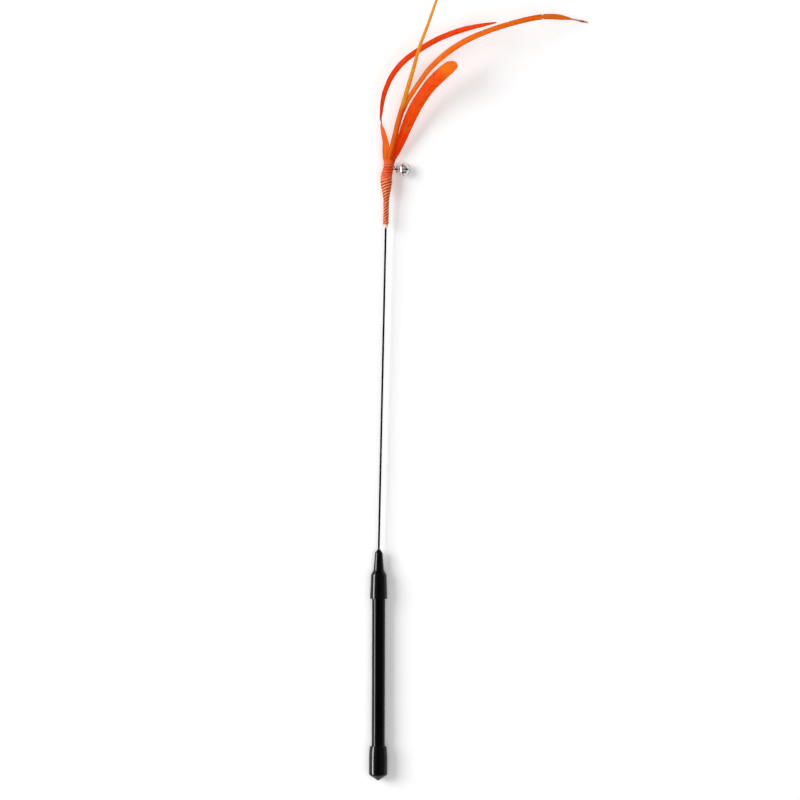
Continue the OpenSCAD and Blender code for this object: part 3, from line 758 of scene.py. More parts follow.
def frames_along(path, up):
    """Two unit vectors across a path; up is a rough direction for the second."""
    ahead = units(np.gradient(path, axis=0))
    across = units(np.cross(ahead, up))
    return across, np.cross(across, ahead)


def steps_of(path):
    """The length run so far at each place of a path."""
    return np.concatenate([[0], np.cumsum(np.linalg.norm(np.diff(path, axis=0), axis=1))])


def twisted(path, outward, plies, width, thick, pitch, ply_share, sides=8):
    """Plies that turn round each other along a path, with how far out each corner lies, 0 to 1."""
    across, up = frames_along(path, outward)
    width = np.broadcast_to(np.asarray(width, float), (len(path),))[:, None]
    length = steps_of(path)
    mid_w, mid_t = width / 2 * (1 - ply_share), thick / 2 * (1 - ply_share)
    corners = [2 * np.pi * j / sides for j in range(sides)]
    tubes, uvs, depths = [], [], []
    for k in range(plies):
        phase = 2 * np.pi * (length / pitch + k / plies)[:, None]
        centre = path + across * mid_w * np.cos(phase) + up * mid_t * np.sin(phase)
        rings = [centre + across * (width / 2 * ply_share * math.cos(a))
                 + up * (thick / 2 * ply_share * math.sin(a)) for a in corners]
        maps = [np.stack([length / 10, np.full(len(length), j / sides)], -1) for j in range(sides)]
        outs = [0.5 + 0.5 * ((1 - ply_share) * np.sin(phase[:, 0]) + ply_share * math.sin(a))
                for a in corners]
        tubes.append(np.stack(rings, 1))
        uvs.append(np.stack(maps, 1))
        depths.append(np.stack(outs, 1))
    return tubes, uvs, depths


print("thread helpers ready")

# %% [markdown]
# ## The bed of glue and first thread
# Under the turns lies the first, flat layer of thread. It is drawn out ring by ring like a turned
# piece, but each ring also moves sideways with the binding's lean. The turns rest on it.

# %% Bed under the turns
bed_sides, bed_steps = 48, 60
bed_from, bed_to = BEAD_LEN + 0.4, CORE_LEN - CROWN_GLUE_T * 0.5
bed_depth = THREAD_T * 0.95
bed = circle(bed_from, bind_r(bed_from) - THREAD_T, bed_sides, "TRIFAN")
into_edit(bed)
bpy.ops.mesh.region_to_loop()
previous = bed_from
for k in range(1, bed_steps + 1):
    y = bed_from + (bed_to - bed_from) * k / bed_steps
    shift = (lean(y) - lean(previous)) * MM
    grow = (bind_r(y) - bed_depth) / (bind_r(previous) - bed_depth)
    bpy.ops.mesh.extrude_edges_move(TRANSFORM_OT_translate={"value": (shift, (y - previous) * MM, 0)})
    bpy.ops.transform.resize(value=(grow, 1, grow), center_override=(lean(y) * MM, y * MM, 0))
    previous = y
bpy.ops.mesh.edge_face_add()
out_of_edit()
settle(bed, TIP_PLACE)
smooth_shade(face_outwards(bed), 40)
hand_over(bed, "Thread_bed", thread_orange)

# %% [markdown]
# ## The turns of thread
# The CAD model's flat band of thread is a guide for a two-ply thread. It is laid in one unbroken
# length, and two last turns tie in the feathers' quills at the top. The plies turn round each
# other, so the turns show as slanting ridges, and painted shade darkens the grooves between them.
# Below, the turns are sunk a little, to leave room for the strands that are laid over them.

# %% Wound thread
turn_steps = 96
lead_in, top_turns = 0.35, 1.95
thread_wide, thread_thick, thread_twist, thread_ply = 2.04, 1.3, 3.4, 0.62
laid_to, laid_thick = 41.0, 1.4
drawn_in_top, sunk_under_strands = 0.55, 0.5
first_step, last_step = -int(lead_in * turn_steps), int((TURNS + top_turns) * turn_steps)
course, outward = [], []
for n in np.arange(first_step, last_step + 1) / turn_steps:
    y = turn_y(n)
    a = -2 * math.pi * n
    sunk = drawn_in_top * ease((n - TURNS) / top_turns) + sunk_under_strands * ease((laid_to + 1 - y) / 5)
    r = bind_r(y) - thread_thick / 2 - sunk
    course.append([lean(y) + r * math.cos(a), y, r * math.sin(a)])
    outward.append([math.cos(a), 0, math.sin(a)])
tubes, uvs, depths = twisted(np.array(course), np.array(outward), plies=2, width=thread_wide,
                             thick=thread_thick, pitch=thread_twist, ply_share=thread_ply)
# How far out each corner lies, softened, sets the painted shade in the grooves between the turns.
thread = ring_mesh("Wound_thread", [on_wand(t) for t in tubes], uvs, [0.5 + 0.5 * d for d in depths])
face_outwards(thread)
hand_over(thread, "Wound_thread", thread_orange, stands_for=["binding_thread"])

# %% [markdown]
# ## Strands laid over the turns
# From the swelling down, four strands of the same thread are laid over the turns at a steep slant,
# as on a rope, and the last turns go over their upper ends. They give this part its slanting
# ridges.

# %% Laid strands
strand_count, strand_pitch, strand_twist = 4, 9.2, 4.2
strand_rise, strand_cover = 0.06, 0.88
tuck_top, tuck_low = 0.75, 0.3
laid_from = BEAD_LEN + 1.0
places = np.arange(laid_from, laid_to, 0.1)
tucked = np.array([tuck_top * ease((y - laid_to + 4) / 4) + tuck_low * ease((laid_from + 2 - y) / 2)
                   for y in places])
r = np.array([bind_r(y) for y in places]) + strand_rise - laid_thick / 2 - tucked
leans = np.array([lean(y) for y in places])
apart = strand_pitch / strand_count / np.sqrt(1 + (strand_pitch / (2 * np.pi * r)) ** 2)
tubes, uvs, depths = [], [], []
for k in range(strand_count):
    turns = -2 * np.pi * (places / strand_pitch + k / strand_count)
    strand = np.stack([leans + r * np.cos(turns), places, r * np.sin(turns)], -1)
    out = np.stack([np.cos(turns), 0 * turns, np.sin(turns)], -1)
    more = twisted(strand, out, 1, apart * strand_cover, laid_thick, strand_twist, 1.0, sides=12)
    tubes, uvs, depths = tubes + more[0], uvs + more[1], depths + more[2]
# How far out each corner lies, stretched, sets strong painted shade in the grooves between the strands.
laid = ring_mesh("Laid_strands", [on_wand(t) for t in tubes], uvs, [1 - 2.1 * (1 - d) for d in depths])
face_outwards(laid)
hand_over(laid, "Laid_strands", strand_highlit_orange)

# %% [markdown]
# ## The drop of glue
# A drop of clear glue holds the thread's lower end to the rod, and more glue fills the space
# between the quills at the top. Both are lathe-turned drops with soft edges.

# %% Glue at both ends
drop_line = rounded([(0.0, ROD_R + 0.02, 0), (0.05, ROD_R + 0.4, 0.15), (1.2, BEAD_R, 0.7),
                     (3.3, BEAD_R + 0.05, 0.3), (3.6, ROD_R + 0.02, 0)])
drop = draw_out(drop_line, 48)
close_round(drop)
top_y = CORE_LEN - CROWN_GLUE_T
crown_line = rounded([(top_y - 0.5, 0.05, 0), (top_y - 0.5, 2.7, 0.2), (CORE_LEN - 0.4, 2.8, 0.5),
                      (CORE_LEN, 0.05, 0)])
crown_glue = draw_out(crown_line + [(CORE_LEN, 0)], 48, disc_first=True)
settle(crown_glue, Matrix.Translation((lean(CORE_LEN) * MM, 0, 0)))
pick(drop)
crown_glue.select_set(True)
bpy.ops.object.join()
settle(drop, TIP_PLACE)
smooth_shade(face_outwards(drop), 50)
hand_over(drop, "Glue_drops", clear_glue, stands_for=["glue_core"])

# %% [markdown]
# ## Feather colour
# A dyed feather takes the colour unevenly: the barbs differ a little and the middle holds warmer
# patches. The barbs' tips at the vane's edges are painted darker, as painted shade where the edges
# curl away from the light. The foot, the far part and the tip can each have a colour
# of their own. The group reads the feather's own UV map, where U is the length in centimetres and V
# goes from one edge (0) over the shaft (0.5) to the other (1).

# %% Group: dyed barbs
NOWHERE = 100.0
dyed, g_in, g_out = open_group(
    "Dyed barbs", SURFACE, Body=(1, 0.3, 0.05, 1), Patch=(1, 0.5, 0.1, 1), Edge=(0.2, 0.1, 0.03, 1),
    Patch_share=0.5, Patch_size=1.0, Edge_start=0.8, Foot_colour=(1, 0.3, 0.05, 1), Foot_length=0.0,
    Far_colour=(1, 0.3, 0.05, 1), Far_from=NOWHERE, Tip_colour=(1, 0.3, 0.05, 1), Tip_from=NOWHERE)
uv = add_node(dyed, "ShaderNodeUVMap", uv_map="UVMap").outputs[0]
parts = add_node(dyed, "ShaderNodeSeparateXYZ", {"Vector": uv})
length_so_far, over_vane = parts.outputs["X"], parts.outputs["Y"]
off_shaft = times(maths("ABSOLUTE", minus(over_vane, 0.5)), 2.0)
cloud = noise(stretched(uv, (1.1, 2.2, 1.0)), g_in["Patch size"], 4.0, Roughness=0.65)
tone = add_node(dyed, "ShaderNodeAttribute", attribute_name="tone").outputs["Fac"]
mixed = plus(cloud, times(minus(tone, 0.5), 0.3))
patchy = times(ramp(mixed, 0.38, 0.64), g_in["Patch share"])
colour = blend_colours(patchy, g_in["Body"], g_in["Patch"])
from_foot = minus(length_so_far, g_in["Foot length"])
wavy = plus(from_foot, times(minus(cloud, 0.5), 1.2))
from_far = minus(length_so_far, g_in["Far from"])
from_tip = minus(length_so_far, g_in["Tip from"])
dark_barb = times(ramp(tone, 0.3, 0.0), 0.35)
# The Edge colour is painted shade towards the vane's edges, where the barbs curl away from the light; at
# random it also darkens some whole barbs a little.
for share, laid_over in ((ramp(wavy, 0.3, -0.4), "Foot colour"),
                         (ramp(from_far, -0.4, 0.4), "Far colour"),
                         (ramp(off_shaft, g_in["Edge start"], 1.0), "Edge"),
                         (ramp(from_tip, -0.1, 0.2), "Tip colour"), (dark_barb, "Edge")):
    colour = blend_colours(share, colour, g_in[laid_over])
hairs = noise(stretched(uv, (60.0, 6.0, 1.0)), 1.0)
connect(g_out, Colour=colour, Roughness=ramp(tone, 0.0, 1.0, 0.45, 0.62),
        Normal=bumped(hairs, 0.35, 0.00005))
print("group", dyed.name)


# %% Materials of the feathers
def feather_material(name, glow, **values):
    """A dyed feather that lets a share of the light through."""
    silky = {"Specular_IOR_Level": 0.12, "Sheen_Weight": 0.06, "Sheen_Roughness": 0.35,
             "Sheen_Tint": (1.0, 0.6, 0.3, 1)}
    made, tree, shader, barbs = group_material(name, dyed, silky, **values)
    through = add_node(tree, "ShaderNodeBsdfTranslucent", {"Color": barbs.outputs["Colour"],
                                                           "Normal": barbs.outputs["Normal"]})
    both = add_node(tree, "ShaderNodeMixShader", {0: glow, 1: shader.outputs[0], 2: through.outputs[0]})
    connect(tree.nodes["Material Output"].inputs, Surface=both.outputs[0])
    return made


# Each Edge colour is painted shade at the vane's edges.
arch_dye = feather_material(
    "Feather_flame", 0.42, Body=(1.0, 0.09, 0.004, 1), Patch=(1.0, 0.14, 0.009, 1),
    Edge=(0.5, 0.04, 0.006, 1), Patch_share=0.7, Patch_size=0.9, Edge_start=0.8,
    Foot_colour=(1.0, 0.25, 0.008, 1), Foot_length=3.3)
sweep_dye = feather_material(
    "Feather_orange", 0.42, Body=(1.0, 0.24, 0.008, 1), Patch=(1.0, 0.34, 0.03, 1),
    Edge=(0.65, 0.07, 0.006, 1), Patch_share=0.8, Patch_size=0.8, Edge_start=0.76,
    Foot_colour=(1.0, 0.09, 0.004, 1), Foot_length=4.5, Far_colour=(0.72, 0.1, 0.02, 1), Far_from=21.5,
    Tip_colour=(0.9, 0.55, 0.24, 1), Tip_from=22.4)
spike_dye = feather_material(
    "Feather_tan", 0.25, Body=(1.0, 0.46, 0.04, 1), Patch=(1.0, 0.38, 0.02, 1),
    Edge=(0.8, 0.11, 0.015, 1), Patch_share=0.8, Patch_size=1.2, Edge_start=0.75,
    Foot_colour=(1.0, 0.2, 0.012, 1), Foot_length=4.5)
plume_dye = feather_material(
    "Feather_red", 0.45, Body=(1.0, 0.12, 0.003, 1), Patch=(1.0, 0.19, 0.006, 1),
    Edge=(0.6, 0.06, 0.006, 1), Patch_share=0.9, Patch_size=1.0, Edge_start=0.88,
    Foot_colour=(1.0, 0.1, 0.002, 1), Foot_length=2.6, Far_colour=(1.0, 0.3, 0.006, 1), Far_from=8.4)
print("feathers", arch_dye.name, sweep_dye.name, spike_dye.name, plume_dye.name)

# %% [markdown]
# ## The feathers' courses
# Each feather follows a smooth curve through a few listed points. The points are shares of
# the feather's length: sideways, along the rod and up. Its width and its roll about its shaft
# change along the way.

# %% Courses, widths and rolls
arch_course = [[-0.01, 0.089, 0.015], [-0.029, 0.167, 0.035], [-0.033, 0.234, 0.045],
               [-0.021, 0.321, 0.055], [0.014, 0.409, 0.06], [0.072, 0.484, 0.07], [0.15, 0.543, 0.075],
               [0.246, 0.6, 0.08], [0.372, 0.648, 0.09], [0.52, 0.682, 0.095]]
spike_course = [[0.03, 0.105, 0.04], [0.053, 0.208, 0.06], [0.082, 0.311, 0.08],
                [0.105, 0.393, 0.1], [0.128, 0.48, 0.12], [0.157, 0.588, 0.145], [0.197, 0.702, 0.165],
                [0.24, 0.833, 0.185], [0.281, 0.954, 0.205]]
sweep_course = [[0.021, 0.05, 0.005], [0.039, 0.137, 0.028], [0.058, 0.191, 0.042],
                [0.085, 0.238, 0.06], [0.112, 0.278, 0.077], [0.143, 0.32, 0.093], [0.186, 0.362, 0.107],
                [0.232, 0.397, 0.114], [0.287, 0.429, 0.117], [0.359, 0.46, 0.11], [0.435, 0.486, 0.093],
                [0.508, 0.506, 0.067], [0.565, 0.513, 0.04], [0.622, 0.51, 0.01], [0.694, 0.5, -0.039]]
plume_course = [[0.079, 0.073, -0.015], [0.121, 0.181, 0.012], [0.163, 0.298, 0.045],
                [0.217, 0.421, 0.083], [0.278, 0.529, 0.125], [0.352, 0.632, 0.17], [0.433, 0.715, 0.211],
                [0.502, 0.773, 0.24], [0.566, 0.804, 0.258]]
arch_widths = [[0, 1.1], [0.03, 1.4], [0.065, 1.35], [0.09, 1.15], [0.12, 1.0], [0.15, 0.95],
               [0.2, 0.8], [0.3, 0.87], [0.4, 0.95], [0.6, 1.05], [0.9, 1], [0.95, 0.65], [1, 0.15]]
spike_widths = [[0, 0.75], [0.06, 1.0], [0.12, 1.0], [0.3, 1], [0.45, 1], [0.56, 0.85], [0.7, 0.7],
                [0.85, 0.6], [1, 0.4]]
sweep_widths = [[0, 0.8], [0.05, 0.95], [0.1, 0.85], [0.3, 0.85], [0.4, 0.95], [0.5, 1.1], [0.6, 1.03],
                [0.67, 0.95], [0.87, 1], [0.91, 0.93], [0.935, 0.5], [0.95, 0.14], [0.965, 0.12],
                [0.98, 0.38], [1, 0.24]]
plume_widths = [[0, 1.15], [0.03, 0.95], [0.06, 0.66], [0.09, 0.52], [0.13, 0.5], [0.22, 0.69],
                [0.33, 0.83], [0.44, 0.91], [0.61, 0.9], [0.72, 1], [0.89, 0.94], [0.94, 0.74],
                [0.97, 0.52], [1, 0.2]]
arch_rolls = [[0, 172], [0.1, 168], [0.15, 158], [0.19, 140], [0.235, 75], [0.3, 52], [0.35, 40],
              [0.4, 25], [0.6, 8], [1, 0]]
spike_rolls = [[0, 20], [0.4, 10], [1, 0]]
sweep_rolls = [[0, 15], [0.5, 0], [0.9, 5], [1, 30]]
plume_rolls = [[0, 25], [0.3, 8], [1, 0]]
print("course points", [len(c) for c in (arch_course, spike_course, sweep_course, plume_course)])

# %% [markdown]
# ## Barb by barb
# A feather's vane is hundreds of thin barbs, which leave the shaft at a slant and hold on to each
# other. Each barb here is a thin closed strip that follows the vane's surface from the shaft to
# the edge. Now and then two barbs let go of each other and leave a narrow split.


# %% Helpers for a feather's course
def smooth_course(points, shares):
    """A curve through points, at shares counted in points."""
    points = np.asarray(points, float)
    last = len(points) - 1
    i = np.clip(np.floor(shares).astype(int), 0, last - 1)
    u = (shares - i)[:, None]
    p0, p1 = points[np.maximum(i - 1, 0)], points[i]
    p2, p3 = points[i + 1], points[np.minimum(i + 2, last)]
    return (2 * p1 + (p2 - p0) * u + (2 * p0 - 5 * p1 + 4 * p2 - p3) * u ** 2
            + (3 * p1 - p0 - 3 * p2 + p3) * u ** 3) / 2


def read_off(table, places):
    """Values at places, from a table of [place, value]."""
    return np.interp(places, *np.array(table, float).T)


def vane_surface(seat, length, course, rolls, samples=1200, soften=30):
    """Finely spaced places, sides and ups along a feather's shaft, with the length so far."""
    points = [[seat[0], 0, seat[1]]] + [[c * length for c in p] for p in course]
    t = np.linspace(0, len(points) - 1, samples)
    path = smooth_course(points, t)
    ahead = units(np.gradient(path, axis=0))
    flat_side = units(np.cross([0, 0, 1], ahead))
    flat_up = np.cross(ahead, flat_side)
    share = t / t[-1]
    roll = np.pad(np.radians(read_off(rolls, share)), soften, mode="edge")
    window = 2 * soften + 1
    roll = np.convolve(roll, np.ones(window) / window, mode="valid")[:, None]
    side = flat_side * np.cos(roll) + flat_up * np.sin(roll)
    up = flat_up * np.cos(roll) - flat_side * np.sin(roll)
    return path, side, up, share, steps_of(path)


print("course helpers ready")

# %% The feather maker
QUILL_R = 0.55
QUILL_IN_CORE = 14.0
SHAFT_SIDES, SHAFT_STEPS = 8, 160
SHAFT_START, SHAFT_TAPER = 0.8, 0.78
BARB_OVERLAP, BARB_THICK, BARB_TILT = 0.78, 0.075, 0.05
BARB_EDGE, BARB_SWEEP = 0.2, 1.25
PITCH_JITTER, SLANT_KEPT, SLANT_JITTER = 0.1, 0.92, 0.05
SPLIT_REACH = 0.012
EVEN_HOLLOW = ((0, 0.12), (1, 0.12))


def make_feather(name, seat, course, widths, rolls, length, width, pitch, slant, segments, seed,
                 foot, splits=(), ragged=0.1, hollows=EVEN_HOLLOW):
    """One feather: a tapering shaft and its barbs, each a closed thin strip.

    Lengths are in mm, and the barbs' slant is in degrees. A split is (share of the length, side,
    how far it opens in mm), and the barbs begin a length foot before the shaft leaves the binding.
    """
    luck = random.Random(seed)
    path, side, up, share, run = vane_surface(seat, length, course, rolls)
    whole = run[-1]

    def at(values, place):
        """Places, sides or ups at lengths along the shaft."""
        return np.array([np.interp(place, run, values[:, k]) for k in range(3)]).T

    def half_width(place):
        """Half of the vane's width."""
        return read_off(widths, np.interp(place, run, share)) * width / 2

    def shaft_r(place):
        """The shaft's radius, which tapers towards the tip."""
        return QUILL_R * SHAFT_START * (1 - SHAFT_TAPER * place / whole)

    places = np.concatenate([[0], np.linspace(0, whole, SHAFT_STEPS)])
    centre = at(path, places)
    centre[0] = [seat[0], -QUILL_IN_CORE + 0.1, seat[1]]
    s_side, s_up, r = at(side, places), at(up, places), shaft_r(places)[:, None]
    corners = [2 * math.pi * j / SHAFT_SIDES for j in range(SHAFT_SIDES)]
    rings = [centre + s_side * r * math.cos(a) + s_up * r * math.sin(a) * 0.9 for a in corners]
    along_shaft = np.stack([places / 10, np.full(len(places), 0.5)], -1)
    tubes, uvs, tones = [np.stack(rings, 1)], [np.stack([along_shaft] * SHAFT_SIDES, 1)], [0.9]
    u = np.linspace(0, 1, segments + 1) ** 0.8
    taper = np.minimum(1, (1.02 - u) * 9)
    half_strip = (pitch * BARB_OVERLAP * taper)[:, None]
    half_thick = (BARB_THICK * (1 - 0.5 * u) * np.maximum(taper, 0.4))[:, None]
    for way in (-1, 1):
        drift = 0.0
        tilt = BARB_TILT * way
        for k in range(int((whole + foot) / pitch)):
            root = k * pitch - foot + luck.uniform(-PITCH_JITTER, PITCH_JITTER) * pitch
            drift = SLANT_KEPT * drift + luck.uniform(-SLANT_JITTER, SLANT_JITTER)
            spot = root / whole
            open_up = sum(depth * max(0.0, 1 - abs(spot - s) / SPLIT_REACH) * (1 if spot > s else -1)
                          for s, w, depth in splits if w == way)
            reach = max(0.6, float(half_width(min(whole, root + 1)))) / math.tan(math.radians(slant))
            along = np.minimum(root + (reach + drift + open_up) * u ** BARB_SWEEP, whole * 0.9995)
            hw, sr = half_width(along), shaft_r(along)
            tip_cut = 1 - luck.random() ** 6 * ragged
            out = sr * 0.5 + np.maximum(hw - sr * 0.5, 0.02) * u * tip_cut
            deep = read_off(hollows, np.interp(along, run, share))
            hollow = np.maximum(hw - sr, 0) * deep * u ** 2
            mid = at(path, along) + np.outer(np.minimum(along, 0), [0, 1, 0])
            mid = mid + way * at(side, along) * out[:, None] - at(up, along) * hollow[:, None]
            across, lift = frames_along(mid, at(up, along))
            strip = [mid + across * half_strip + lift * (half_thick * BARB_EDGE + tilt * half_strip),
                     mid + lift * half_thick,
                     mid - across * half_strip + lift * (half_thick * BARB_EDGE - tilt * half_strip),
                     mid - lift * half_thick]
            v = 0.5 + 0.5 * way * np.clip(out / np.maximum(hw, 0.1), 0, 1)
            tubes.append(np.stack(strip, 1))
            uvs.append(np.repeat(np.stack([along / 10, v], -1)[:, None, :], 4, 1))
            tones.append(luck.random())
    obj = ring_mesh(name, [on_wand(t + [0, CORE_LEN, 0]) for t in tubes], uvs, tones)
    return smooth_shade(face_outwards(obj), 60)


print("feather maker ready")

# %% The four feathers
turned_over = ((0, 0.12), (0.17, 0.15), (0.21, 0.45), (0.25, 0.45), (0.3, 0.15), (1, 0.12))
arching = make_feather("Feather_arching", (-0.5, 0.9), arch_course, arch_widths, arch_rolls, length=162,
                       width=4.4, pitch=0.36, slant=38, segments=6, seed=11, foot=4.0,
                       splits=[(0.36, 1, 0.5)], hollows=turned_over)
hand_over(arching, "Feather_arching", arch_dye, stands_for=["feather_arching"])
spike = make_feather("Feather_spike", (0.9, 1.6), spike_course, spike_widths, spike_rolls, length=153,
                     width=3.4, pitch=0.36, slant=30, segments=6, seed=12, foot=3.0)
hand_over(spike, "Feather_spike", spike_dye, stands_for=["feather_spike"])
sweeping = make_feather("Feather_sweeping", (2.3, 0.6), sweep_course, sweep_widths, sweep_rolls, length=227,
                        width=4.4, pitch=0.36, slant=38, segments=6, seed=13, foot=3.0,
                        splits=[(0.805, 1, 1.0), (0.805, -1, 1.0), (0.672, 1, 0.7)])
hand_over(sweeping, "Feather_sweeping", sweep_dye, stands_for=["feather_sweeping"])
plume = make_feather("Feather_plume", (1.5, -1.6), plume_course, plume_widths, plume_rolls, length=95,
                     width=10.9, pitch=0.32, slant=40, segments=10, seed=14, foot=6.0,
                     splits=[(0.62, -1, 0.25)], ragged=0.06)
hand_over(plume, "Feather_plume", plume_dye, stands_for=["feather_plume"])

# %% [markdown]
# ## Plated metal
# The bell and its wires are nickel plated. Plating mirrors what is round it, so a good bell needs
# small dents and fine scratches more than it needs colour. One group gives both, from Object
# coordinates. The bell, the wires and the pea differ in brightness and in stains, and the seam is
# painted dark grey, as painted shade in the crease between the bell's halves.

# %% Group: dents and scratches
plated, g_in, g_out = open_group(
    "Plated metal", SURFACE, Bright=(0.8, 0.8, 0.82, 1), Dull=(0.4, 0.38, 0.36, 1), Dull_share=0.4,
    Dent_size=500.0, Dent_depth=0.3)
where = piece_place(plated)
dents = noise(where, g_in["Dent size"])
scratch = noise(stretched(where, (1.0, 12.0, 1.0), (0.4, 0.2, 0.7)), 1500.0, 3.0)
stain = noise(where, 350.0, 5.0, Roughness=0.7)
dull = times(ramp(stain, 0.5, 0.7), g_in["Dull share"])
tone = blend_colours(dull, g_in["Bright"], g_in["Dull"])
rough = plus(ramp(scratch, 0.4, 0.7, 0.1, 0.24), times(dull, 0.3))
height = plus(times(dents, g_in["Dent depth"]), times(scratch, 0.04))
connect(g_out, Colour=tone, Roughness=rough, Normal=bumped(height, 0.5, 0.0004))
print("group", plated.name)


# %% Materials of the metal
def metal_material(name, metallic=1.0, **values):
    """A plated material with its own colours."""
    return group_material(name, plated, {"Metallic": metallic}, **values)[0]


bell_silver = metal_material("Bell_silver", 0.8, Bright=(0.9, 0.89, 0.87, 1), Dull=(0.5, 0.47, 0.42, 1),
                             Dull_share=0.35, Dent_size=420.0, Dent_depth=0.35)
wire_silver = metal_material("Wire_silver", Bright=(0.34, 0.3, 0.28, 1), Dull=(0.08, 0.05, 0.04, 1),
                             Dull_share=0.8, Dent_size=1200.0, Dent_depth=0.1)
# Painted shade: the seam is dark grey for the shade in the crease between the bell's halves.
seam_shade_grey = metal_material("Seam_shade_grey", Bright=(0.07, 0.065, 0.06, 1), Dull=(0.03, 0.025, 0.02, 1),
                           Dull_share=0.7, Dent_size=900.0, Dent_depth=0.2)
pea_steel = metal_material("Pea_steel", Bright=(0.42, 0.41, 0.4, 1), Dull=(0.2, 0.15, 0.12, 1),
                           Dull_share=0.8, Dent_size=900.0, Dent_depth=0.3)
print("metals", bell_silver.name, wire_silver.name, seam_shade_grey.name, pea_steel.name)

# %% [markdown]
# ## The bell
# A jingle bell is pressed from two cups of thin sheet. The upper half carries the eye. The lower
# half has two crossed slots that end in round holes, and its rim is rolled over the upper one.
# Each half starts as a sphere about the origin. One half is cut away, a Solidify modifier gives
# the sheet its thickness, and the half is moved to the bell's place.

# %% Pressed halves
BELL_TILT = -math.pi / 2 - BELL_PITCH
BELL_PLACE = Matrix.Translation(Vector(BELL_AT) * MM) @ Matrix.Rotation(BELL_TILT, 4, "Y")


def use_modifier(obj, kind, **settings):
    """Adds a modifier, sets it and applies it."""
    pick(obj)
    modifier = obj.modifiers.new(kind.title(), kind)
    for key, value in settings.items():
        setattr(modifier, key, value)
    bpy.ops.object.modifier_apply(modifier=modifier.name)


def half_shell(keep_up):
    """Half of the bell about the origin, with its pole on Z, as a sheet with thickness."""
    bpy.ops.mesh.primitive_uv_sphere_add(segments=96, ring_count=48, radius=BELL_R * MM)
    obj = bpy.context.object
    into_edit(obj, "FACE")
    bpy.ops.mesh.bisect(plane_co=(0, 0, 0), plane_no=(0, 0, 1), clear_inner=keep_up,
                        clear_outer=not keep_up)
    out_of_edit()
    use_modifier(obj, "SOLIDIFY", thickness=BELL_T * MM, offset=-1)
    return obj


dome = half_shell(True)
settle(dome, BELL_PLACE)
smooth_shade(dome, 40)
hand_over(dome, "Bell_dome", bell_silver, "bell", ["bell_dome"])

# %% Lower half with its crossed slots
cup = half_shell(False)
slot_length = 2 * BELL_R * math.sin(SLOT_SPREAD)
hole_at, hole_depth = BELL_R * 0.9, BELL_R * 0.7
cutters = []
for turn in (0, math.pi / 2):
    bpy.ops.mesh.primitive_cube_add(size=1, location=(0, 0, -BELL_R * MM), rotation=(0, 0, turn),
                                    scale=(slot_length * MM, SLOT_W * MM, BELL_R * MM))
    cutters.append(bpy.context.object)
    for way in (-1, 1):
        tip = Matrix.Rotation(turn, 3, "Z") @ Matrix.Rotation(math.pi + way * SLOT_SPREAD, 3, "Y")
        place = tip @ Vector((0, 0, hole_at))
        bpy.ops.mesh.primitive_cylinder_add(vertices=32, radius=SLOT_END_R * MM, depth=hole_depth * MM,
                                            location=place * MM, rotation=tip.to_euler())
        cutters.append(bpy.context.object)
for cutter in cutters:
    settle(cutter)
    use_modifier(cup, "BOOLEAN", operation="DIFFERENCE", solver="EXACT", object=cutter)
    bpy.data.objects.remove(cutter)
settle(cup, BELL_PLACE)
smooth_shade(cup, 40)
print("cup with slots", round(slot_length, 2), "mm long,", len(cup.data.polygons), "faces")

# %% Rolled seam
# The seam's dark grey is painted shade in the crease where the halves meet.
seam_wire_r = SEAM_R * 1.25
seam = torus(BELL_R - BELL_T / 2, seam_wire_r, 96, 12, (0, 0, -SEAM_R * MM))
settle(seam, BELL_PLACE)
smooth_shade(seam, 40)
hand_over(seam, "Bell_seam", seam_shade_grey, "bell")
hand_over(cup, "Bell_cup", bell_silver, "bell", ["bell_cup"])

# %% Eye, jump ring and pea
eye = smooth_shade(torus(EYE_R, EYE_WIRE_R, 64, 16, Vector(EYE_AT) * MM, (math.pi / 2, 0, 0)), 60)
hand_over(eye, "Bell_eye", wire_silver, "bell", ["bell_eye"])
ring_middle = Vector(RING_TOP - [0, 0, RING_R]) * MM
ring = smooth_shade(torus(RING_R, RING_WIRE_R, 96, 16, ring_middle, (0, math.pi / 2, 0)), 60)
hand_over(ring, "Jump_ring", wire_silver, "ring", ["jump_ring"])
finish_solid("bell_pea", pea_steel)

# %% [markdown]
# ## The bell's tie
# A loop of red thread, painted very dark red as painted shade, comes out between two turns of the
# binding, goes through the ring and back in. It is two plies twisted round each other, with a small
# knot wound round its upper leg.

# %% Tie
tie_bend = RING_WIRE_R + SNUG + TIE_R
inside_binding, leg_rise = 2.2, 4.4
tie_from = lean(TIE_Y) + inside_binding
leg_steps, bend_turns = 26, 12
tie_path = []
for k in range(leg_steps + 1):
    s = k / leg_steps
    tie_path.append([tie_from + (TIE_REACH - tie_from) * s, TIE_Y + leg_rise * (1 - ease(s)), tie_bend])
for k in range(1, bend_turns):
    a = math.pi / 2 - math.pi * k / bend_turns
    tie_path.append([TIE_REACH + tie_bend * math.cos(a), TIE_Y, tie_bend * math.sin(a)])
for k in range(leg_steps + 1):
    tie_path.append([TIE_REACH - (TIE_REACH - tie_from) * k / leg_steps, TIE_Y, -tie_bend])
tie_path = np.array(tie_path)
tie_up = np.tile([0.0, 1.0, 0.0], (len(tie_path), 1))
tie_thick, tie_twist, tie_ply = 2.3 * TIE_R, 2.0, 0.6
tubes, uvs, depths = twisted(tie_path, tie_up, 2, tie_thick, tie_thick, tie_twist, tie_ply)
print("tie stands out", round(TIE_REACH + tie_bend, 2), "mm from the rod's axis")

